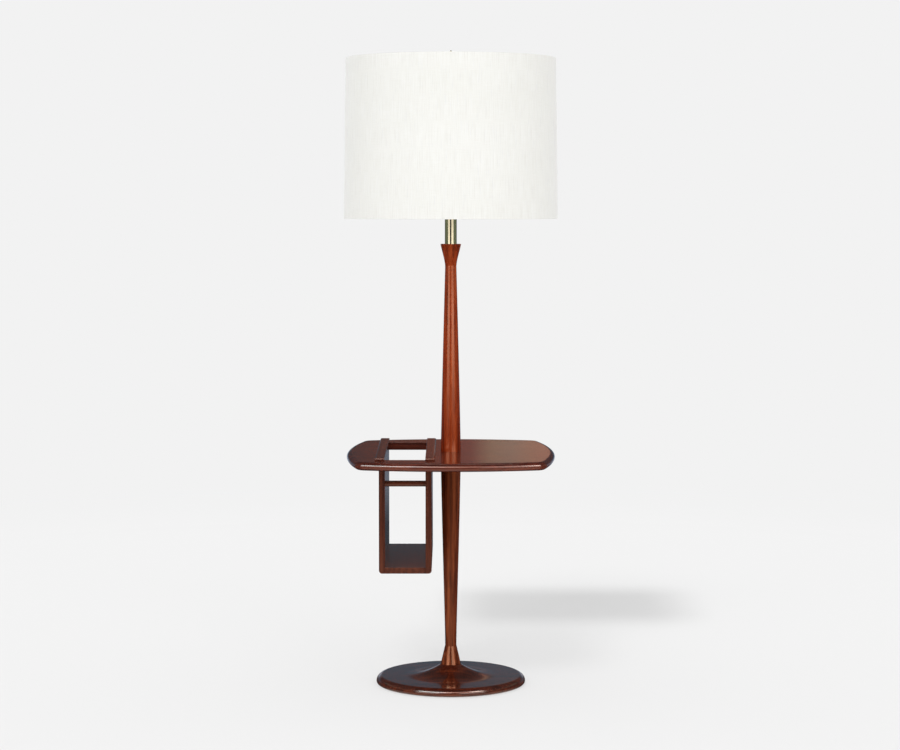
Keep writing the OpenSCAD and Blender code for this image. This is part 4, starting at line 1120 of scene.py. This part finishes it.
lining_white = mottled(
    "white lining", 40.0, 3.0, [(0.3, (0.80, 0.79, 0.76)), (0.7, (0.86, 0.855, 0.83))], roughness=0.6)
lining_out = LINEN + 0.00005
lining_in = lining_out + LINING
corners = [
    (shade_bottom, lining_in), (shade_bottom, lining_out), (shade_top, lining_out), (shade_top, lining_in)]
turned("lining", [(shade_radius(z, inset), z) for z, inset in corners],
       lining_white, "shade", ["shade_liner"], SHADE_SIDES)

enamel = finish_of("white enamel", roughness=0.3, base_color=(0.82, 0.82, 0.80, 1), coat_weight=0.4)[0]
dressed("shade_spider", enamel)
turns = [math.tau * k / SHADE_SIDES for k in range(SHADE_SIDES)]
hoop = [(lower_ring * math.cos(a), lower_ring * math.sin(a), lower_ring_height) for a in turns]
hoop_mesh = swept("lower_hoop", hoop, FRAME_WIRE, RING_SIDES, enamel, closed=True)
plain_piece(hoop_mesh, "shade", ["shade_bottom_ring"])


# Finial -----------------------------------------------------------------
# A small knob, turned from brass rod and polished. It screws down on the
# harp's stud and holds the shade.
FINIAL_WAIST = 0.0048
FINIAL_EDGE = 0.0003
THREAD_RADIUS = 0.00328         # of the hole in its foot
THREAD_DEPTH = 0.0123
BALL_END = 62                   # degrees above the ball's equator
low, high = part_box("finial")
tall, wide = high.z - low.z, high.x
collar_top = low.z + tall * 0.08
ball_height = low.z + tall * 0.42
ball_start = -math.degrees(math.acos(FINIAL_WAIST / wide))
tip = tall * 0.07
tip_height = high.z - tip
ball_top = arc((0, ball_height), wide, BALL_END, BALL_END, 1)[0]
finial_outline = [
    (THREAD_RADIUS, low.z), (wide - FINIAL_EDGE, low.z), (wide, low.z + FINIAL_EDGE),
    (wide, collar_top - FINIAL_EDGE), (wide - FINIAL_EDGE, collar_top), (FINIAL_WAIST, low.z + tall * 0.17),
    *arc((0, ball_height), wide, ball_start, BALL_END, 24),
    *sweep_curve(
        ball_top, (ball_top[0] * 0.55, ball_height + wide * 1.15),
        (tip * 0.6, tip_height - tall * 0.12), (tip * 0.8, tip_height - tip * 0.6), 10,
    )[1:],
    *arc((0, tip_height), tip, -37, 90, 12)[1:-1],
    (0, high.z), (0, low.z + THREAD_DEPTH), (THREAD_RADIUS, low.z + THREAD_DEPTH),
]
turned("top_finial", finial_outline, brass, "finial", ["finial"], SMALL_SIDES)


# Studio -----------------------------------------------------------------
# A pale floor runs out to a background of the same tone, with soft light all
# round. The faint shadow is that of a card far off in the key light. A darker
# room shows in reflections only. Its walls glow with painted light: two
# bright windows, a warm patch and a pale streak.
BACKGROUND = 0.8879             # as the camera sees it
FLOOR_COLOUR = 0.61
FLOOR_LIFT = 0.42               # how much of the background's tone lies over the floor
FLOOR_REACH = 1500.0
FLOOR_PLAIN = (1.9, 3.4)        # over this stretch the floor goes over into the background
SKY = 0.68                      # light from all round
KEY_HEIGHT = math.radians(48.6)
KEY_SIDE = math.radians(17.5)   # to the left of the camera
KEY_STRENGTH = 0.867 * math.pi
CARD_SHARE = 0.68               # share of the key light that the card alone keeps off the floor
CARD_DISTANCE = 30.0
CARD_SHADOW = (0.309, 0.98)     # where the middle of its shadow falls
CARD_HALF = (0.281, 0.235)      # half its width and depth
KEY_SIZE = math.radians(14)
CARDED_SIZE = math.radians(0.33)
FRONT_SIDE = math.radians(2)
FRONT_HEIGHT = math.radians(30)
FRONT_STRENGTH = 0.335 * math.pi
FRONT_SIZE = math.radians(70)

scene.view_settings.view_transform = "Standard"
world = bpy.data.worlds.new("studio")
scene.world = world
world.use_nodes = True
sky_tree = world.node_tree
sky_tree.nodes.clear()
path = add(sky_tree, "ShaderNodeLightPath").outputs
seen = maths(sky_tree, "MAXIMUM", path["Is Camera Ray"], path["Is Glossy Ray"])
seen = maths(sky_tree, "MAXIMUM", seen, path["Is Transmission Ray"])
add(sky_tree, "ShaderNodeOutputWorld", {"Surface": add(sky_tree, "ShaderNodeMixShader", {
    0: seen,
    1: add(sky_tree, "ShaderNodeBackground", {"Color": (1, 1, 1, 1), "Strength": SKY}),
    2: add(sky_tree, "ShaderNodeBackground", {"Color": (*[BACKGROUND] * 3, 1), "Strength": 1.0}),
})})

floor_paint, tree, shader = finish_of(
    "pale floor", roughness=1.0, specular_ior_level=0.0, base_color=(*[FLOOR_COLOUR] * 3, 1))
place = add(tree, "ShaderNodeTexCoord").outputs["Object"]
run = add(tree, "ShaderNodeVectorMath", {0: place}, operation="LENGTH").outputs["Value"]
far_out = add(tree, "ShaderNodeMapRange", {
    "Value": run, "From Min": FLOOR_PLAIN[0], "From Max": FLOOR_PLAIN[1],
}, interpolation_type="SMOOTHSTEP")
seen = add(tree, "ShaderNodeLightPath").outputs["Is Camera Ray"]
floor_mix = add(tree, "ShaderNodeMixShader", {
    0: maths(tree, "MULTIPLY", maths(tree, "MAXIMUM", far_out, FLOOR_LIFT), seen),
    1: shader,
    2: add(tree, "ShaderNodeEmission", {"Color": (*[BACKGROUND] * 3, 1), "Strength": 1.0}),
})
tree.links.new(floor_mix.outputs[0], tree.nodes["Material Output"].inputs["Surface"])


def stage_mesh(name, verts, faces, material, unseen_by=()):
    """A piece of the studio, and the kinds of rays that miss it."""
    mesh = bpy.data.meshes.new(name)
    mesh.from_pydata(verts, [], faces)
    mesh.materials.append(material)
    made = bpy.data.objects.new(name, mesh)
    scene.collection.objects.link(made)
    for rays in unseen_by:
        setattr(made, "visible_" + rays, False)
    return made


def panel(name, middle, half_width, half_depth, unseen_by=()):
    """A level panel in the floor's paint."""
    x, y, z = middle
    corners = [(x + a * half_width, y + b * half_depth, z) for a, b in ((-1, -1), (1, -1), (1, 1), (-1, 1))]
    return stage_mesh(name, corners, [(0, 1, 2, 3)], floor_paint, unseen_by)


def way_to(side, height):
    """The way to a light at some angle to the left of the camera and above the horizon."""
    return (-math.sin(side) * math.cos(height), -math.cos(side) * math.cos(height), math.sin(height))


def sun(name, side, height, strength, size):
    """Light from far away. It lights surfaces and isn't seen in reflections."""
    lamp = bpy.data.objects.new(name, bpy.data.lights.new(name, "SUN"))
    lamp.data.energy = strength
    lamp.data.angle = size
    lamp.rotation_mode = "QUATERNION"
    lamp.rotation_quaternion = Vector(way_to(side, height)).to_track_quat("Z", "Y")
    lamp.visible_glossy = False
    scene.collection.objects.link(lamp)
    return lamp


def one_piece(name, piece):
    """A collection of one piece, for the light to be linked to."""
    made = bpy.data.collections.new(name)
    made.objects.link(piece)
    return made


floor = panel("floor", (0, 0, 0), FLOOR_REACH, FLOOR_REACH)
x, y, z = [CARD_DISTANCE * part for part in way_to(KEY_SIDE, KEY_HEIGHT)]
card = panel("card", (CARD_SHADOW[0] + x, CARD_SHADOW[1] + y, z), *CARD_HALF,
             ("camera", "diffuse", "glossy", "transmission", "volume_scatter"))
sun("front", FRONT_SIDE, FRONT_HEIGHT, FRONT_STRENGTH, FRONT_SIZE)
key = sun("key", KEY_SIDE, KEY_HEIGHT, (1 - CARD_SHARE) * KEY_STRENGTH, KEY_SIZE)
carded = sun("key behind the card", KEY_SIDE, KEY_HEIGHT, CARD_SHARE * KEY_STRENGTH, CARDED_SIZE)
floor_only = one_piece("lit by the key light", floor)
for lamp in (key, carded):
    lamp.light_linking.receiver_collection = floor_only
carded.light_linking.blocker_collection = one_piece("the card", card)

ROOM_RADIUS = 2.5
ROOM_HEIGHT = 3.0
ROOM_FLOOR = 0.001
ROOM_MIDDLE = 0.01              # radius of the hole in the middle of its floor and ceiling
DARK = (0.05, 0.05, 0.05)


def between(stops, x):
    """The colour at x between (place, colour) stops."""
    places = [place for place, colour in stops]
    return np.array([np.interp(x, places, [colour[n] for place, colour in stops]) for n in (0, 1, 2)])


def grey(tone):
    """A grey as a colour."""
    return (tone, tone, tone)


WINDOW = [                      # its tones by height
    (0.42, grey(0)), (0.73, grey(3.5)), (0.84, grey(4.8)), (0.92, grey(1.4)),
    (1.03, grey(1.4)), (1.10, grey(0.25)),
]
HIGH_WINDOW = [                 # its tones by degrees to the camera's left
    (-62, grey(0.0)), (-54, grey(9.5)), (-36, grey(9.5)), (-33, (5.4, 4.4, 4.3)), (-26, (3.6, 2.7, 2.5)),
    (-11, (3.4, 2.4, 2.2)), (-3, (6.0, 4.3, 3.7)), (4, (7.0, 5.8, 5.6)), (11, (8.5, 7.7, 7.8)),
    (18, (7.2, 8.8, 9.8)), (54, (6.0, 8.6, 9.6)), (62, grey(0.0)),
]
HIGH_WINDOW_SPAN = (1.42, 1.55, 2.5, 2.65)      # a soft band of heights
SIDE_WALL_SPAN = (52, 62, 125, 145)             # degrees from the camera
SIDE_WALL = [                   # its tones by height
    (0.0, (0.05, 0.055, 0.06)), (0.84, (0.04, 0.04, 0.045)), (0.90, (0.23, 0.29, 0.24)),
    (1.2, (0.23, 0.29, 0.24)), (1.5, grey(0.1)),
]
REAR_WALL = [
    (0.0, (0.045, 0.05, 0.06)), (0.15, (0.16, 0.175, 0.21)), (0.35, (0.11, 0.13, 0.165)),
    (0.45, (0.09, 0.17, 0.23)), (0.52, (0.09, 0.17, 0.23)), (0.58, (0.08, 0.12, 0.15)),
    (0.64, (0.045, 0.05, 0.055)), (0.72, (0.05, 0.045, 0.05)), (1.1, (0.06, 0.055, 0.06)), (1.3, grey(0.05)),
]
# A warm glowing patch on the rear wall: painted light that the table top and the foot show as a warm sheen.
WARM_GLOW_SPAN = (-0.4, -0.3, 0.33, 0.42)
WARM_GLOW_HEIGHTS = (0.705, 0.725, 0.82, 0.86)
WARM_GLOW_PATCH = [                    # its tones from left to right, in metres
    (-0.35, (0.05, 0.055, 0.06)), (-0.28, (0.12, 0.06, 0.05)), (-0.06, (0.24, 0.08, 0.05)),
    (0.06, (0.29, 0.10, 0.08)), (0.12, (0.48, 0.30, 0.20)), (0.185, (0.50, 0.35, 0.26)),
    (0.25, (0.61, 0.35, 0.24)), (0.33, (0.68, 0.33, 0.235)),
]
# A pale glowing streak low on the rear wall: painted light that the foot's bell shows as light streaks on its
# flanks.
STREAK_SPAN = (158, 162, 171, 174)
BELL_STREAK = (0.55, 0.62, 0.75)


def soft_step(x, start, end):
    """Goes softly from 0 at start to 1 at end."""
    t = min(max((x - start) / (end - start), 0.0), 1.0)
    return t * t * (3 - 2 * t)


def soft_band(x, start, full, ebb, end):
    """Goes softly from 0 at start to 1 at full, and back to 0 from ebb to end."""
    return soft_step(x, start, full) * (1 - soft_step(x, ebb, end))


def wall_tone(side, z):
    """The wall's glow. side is in degrees from the camera, to the left."""
    turn = abs(side)
    x = -math.sin(math.radians(side)) * ROOM_RADIUS
    streak_top = 0.40 if side > 0 else 0.30
    window = (soft_step(side, 15, 20) + soft_step(-side, 10, 14)) * (1 - soft_step(turn, 50, 58))
    # Painted light: the warm glowing patch on the rear wall.
    warm_glow = soft_band(x, *WARM_GLOW_SPAN) * soft_band(z, *WARM_GLOW_HEIGHTS)
    # Painted light: a pale streak low on the rear wall.
    streak = soft_band(turn, *STREAK_SPAN) * soft_band(z, 0.03, 0.1, streak_top, streak_top + 0.1)
    tone = np.array(DARK)
    for share, colour in (
        (window, between(WINDOW, z)),
        (soft_band(z, *HIGH_WINDOW_SPAN), between(HIGH_WINDOW, side)),
        (soft_band(turn, *SIDE_WALL_SPAN), between(SIDE_WALL, z)),
        (soft_step(turn, *SIDE_WALL_SPAN[2:]), between(REAR_WALL, z)),
        (warm_glow * (turn > 90), between(WARM_GLOW_PATCH, x)),
        (streak, np.array(BELL_STREAK)),
    ):
        tone = tone * (1 - share) + share * colour
    return tone


def floor_tone(side):
    """The dark floor's glow."""
    front, rear = 1 - soft_step(abs(side), 40, 75), soft_step(abs(side), 75, 140)
    return np.array(DARK) + front * np.array((0.60, 0.55, 0.50)) + rear * np.array((0.0, 0.005, 0.015))


ROOM_TURNS, ROOM_LEVELS = 240, 100
verts, tones, faces = [], [], []
for level in range(ROOM_LEVELS + 3):
    for k in range(ROOM_TURNS):
        side = 360 * k / ROOM_TURNS - 180
        a = math.radians(side)
        if level == 0:
            radius, z, tone = ROOM_MIDDLE, ROOM_FLOOR, floor_tone(side)
        elif level == ROOM_LEVELS + 2:
            radius, z, tone = ROOM_MIDDLE, ROOM_HEIGHT, DARK
        else:
            z = ROOM_FLOOR + (ROOM_HEIGHT - ROOM_FLOOR) * (level - 1) / ROOM_LEVELS
            radius, tone = ROOM_RADIUS, wall_tone(side, z)
        verts.append((-math.sin(a) * radius, -math.cos(a) * radius, z))
        tones.append((*tone, 1.0))
        if level:
            here = level * ROOM_TURNS + k
            left = level * ROOM_TURNS + (k + 1) % ROOM_TURNS
            faces.append((here, left, left - ROOM_TURNS, here - ROOM_TURNS))
# The room's glow is painted light, read from the colours set at its points.
room_glow = bpy.data.materials.new("dark room")
room_glow.use_nodes = True
room_tree = room_glow.node_tree
room_tree.nodes.clear()
room_colour = add(room_tree, "ShaderNodeAttribute", attribute_name="glow").outputs["Color"]
room_light = add(room_tree, "ShaderNodeEmission", {"Color": room_colour, "Strength": 1.0})
add(room_tree, "ShaderNodeOutputMaterial", {"Surface": room_light})
room = stage_mesh("dark_room", verts, faces, room_glow,
                  ("camera", "diffuse", "transmission", "volume_scatter", "shadow"))
glow = room.data.attributes.new("glow", "FLOAT_COLOR", "POINT")
glow.data.foreach_set("color", [c for tone in tones for c in tone])
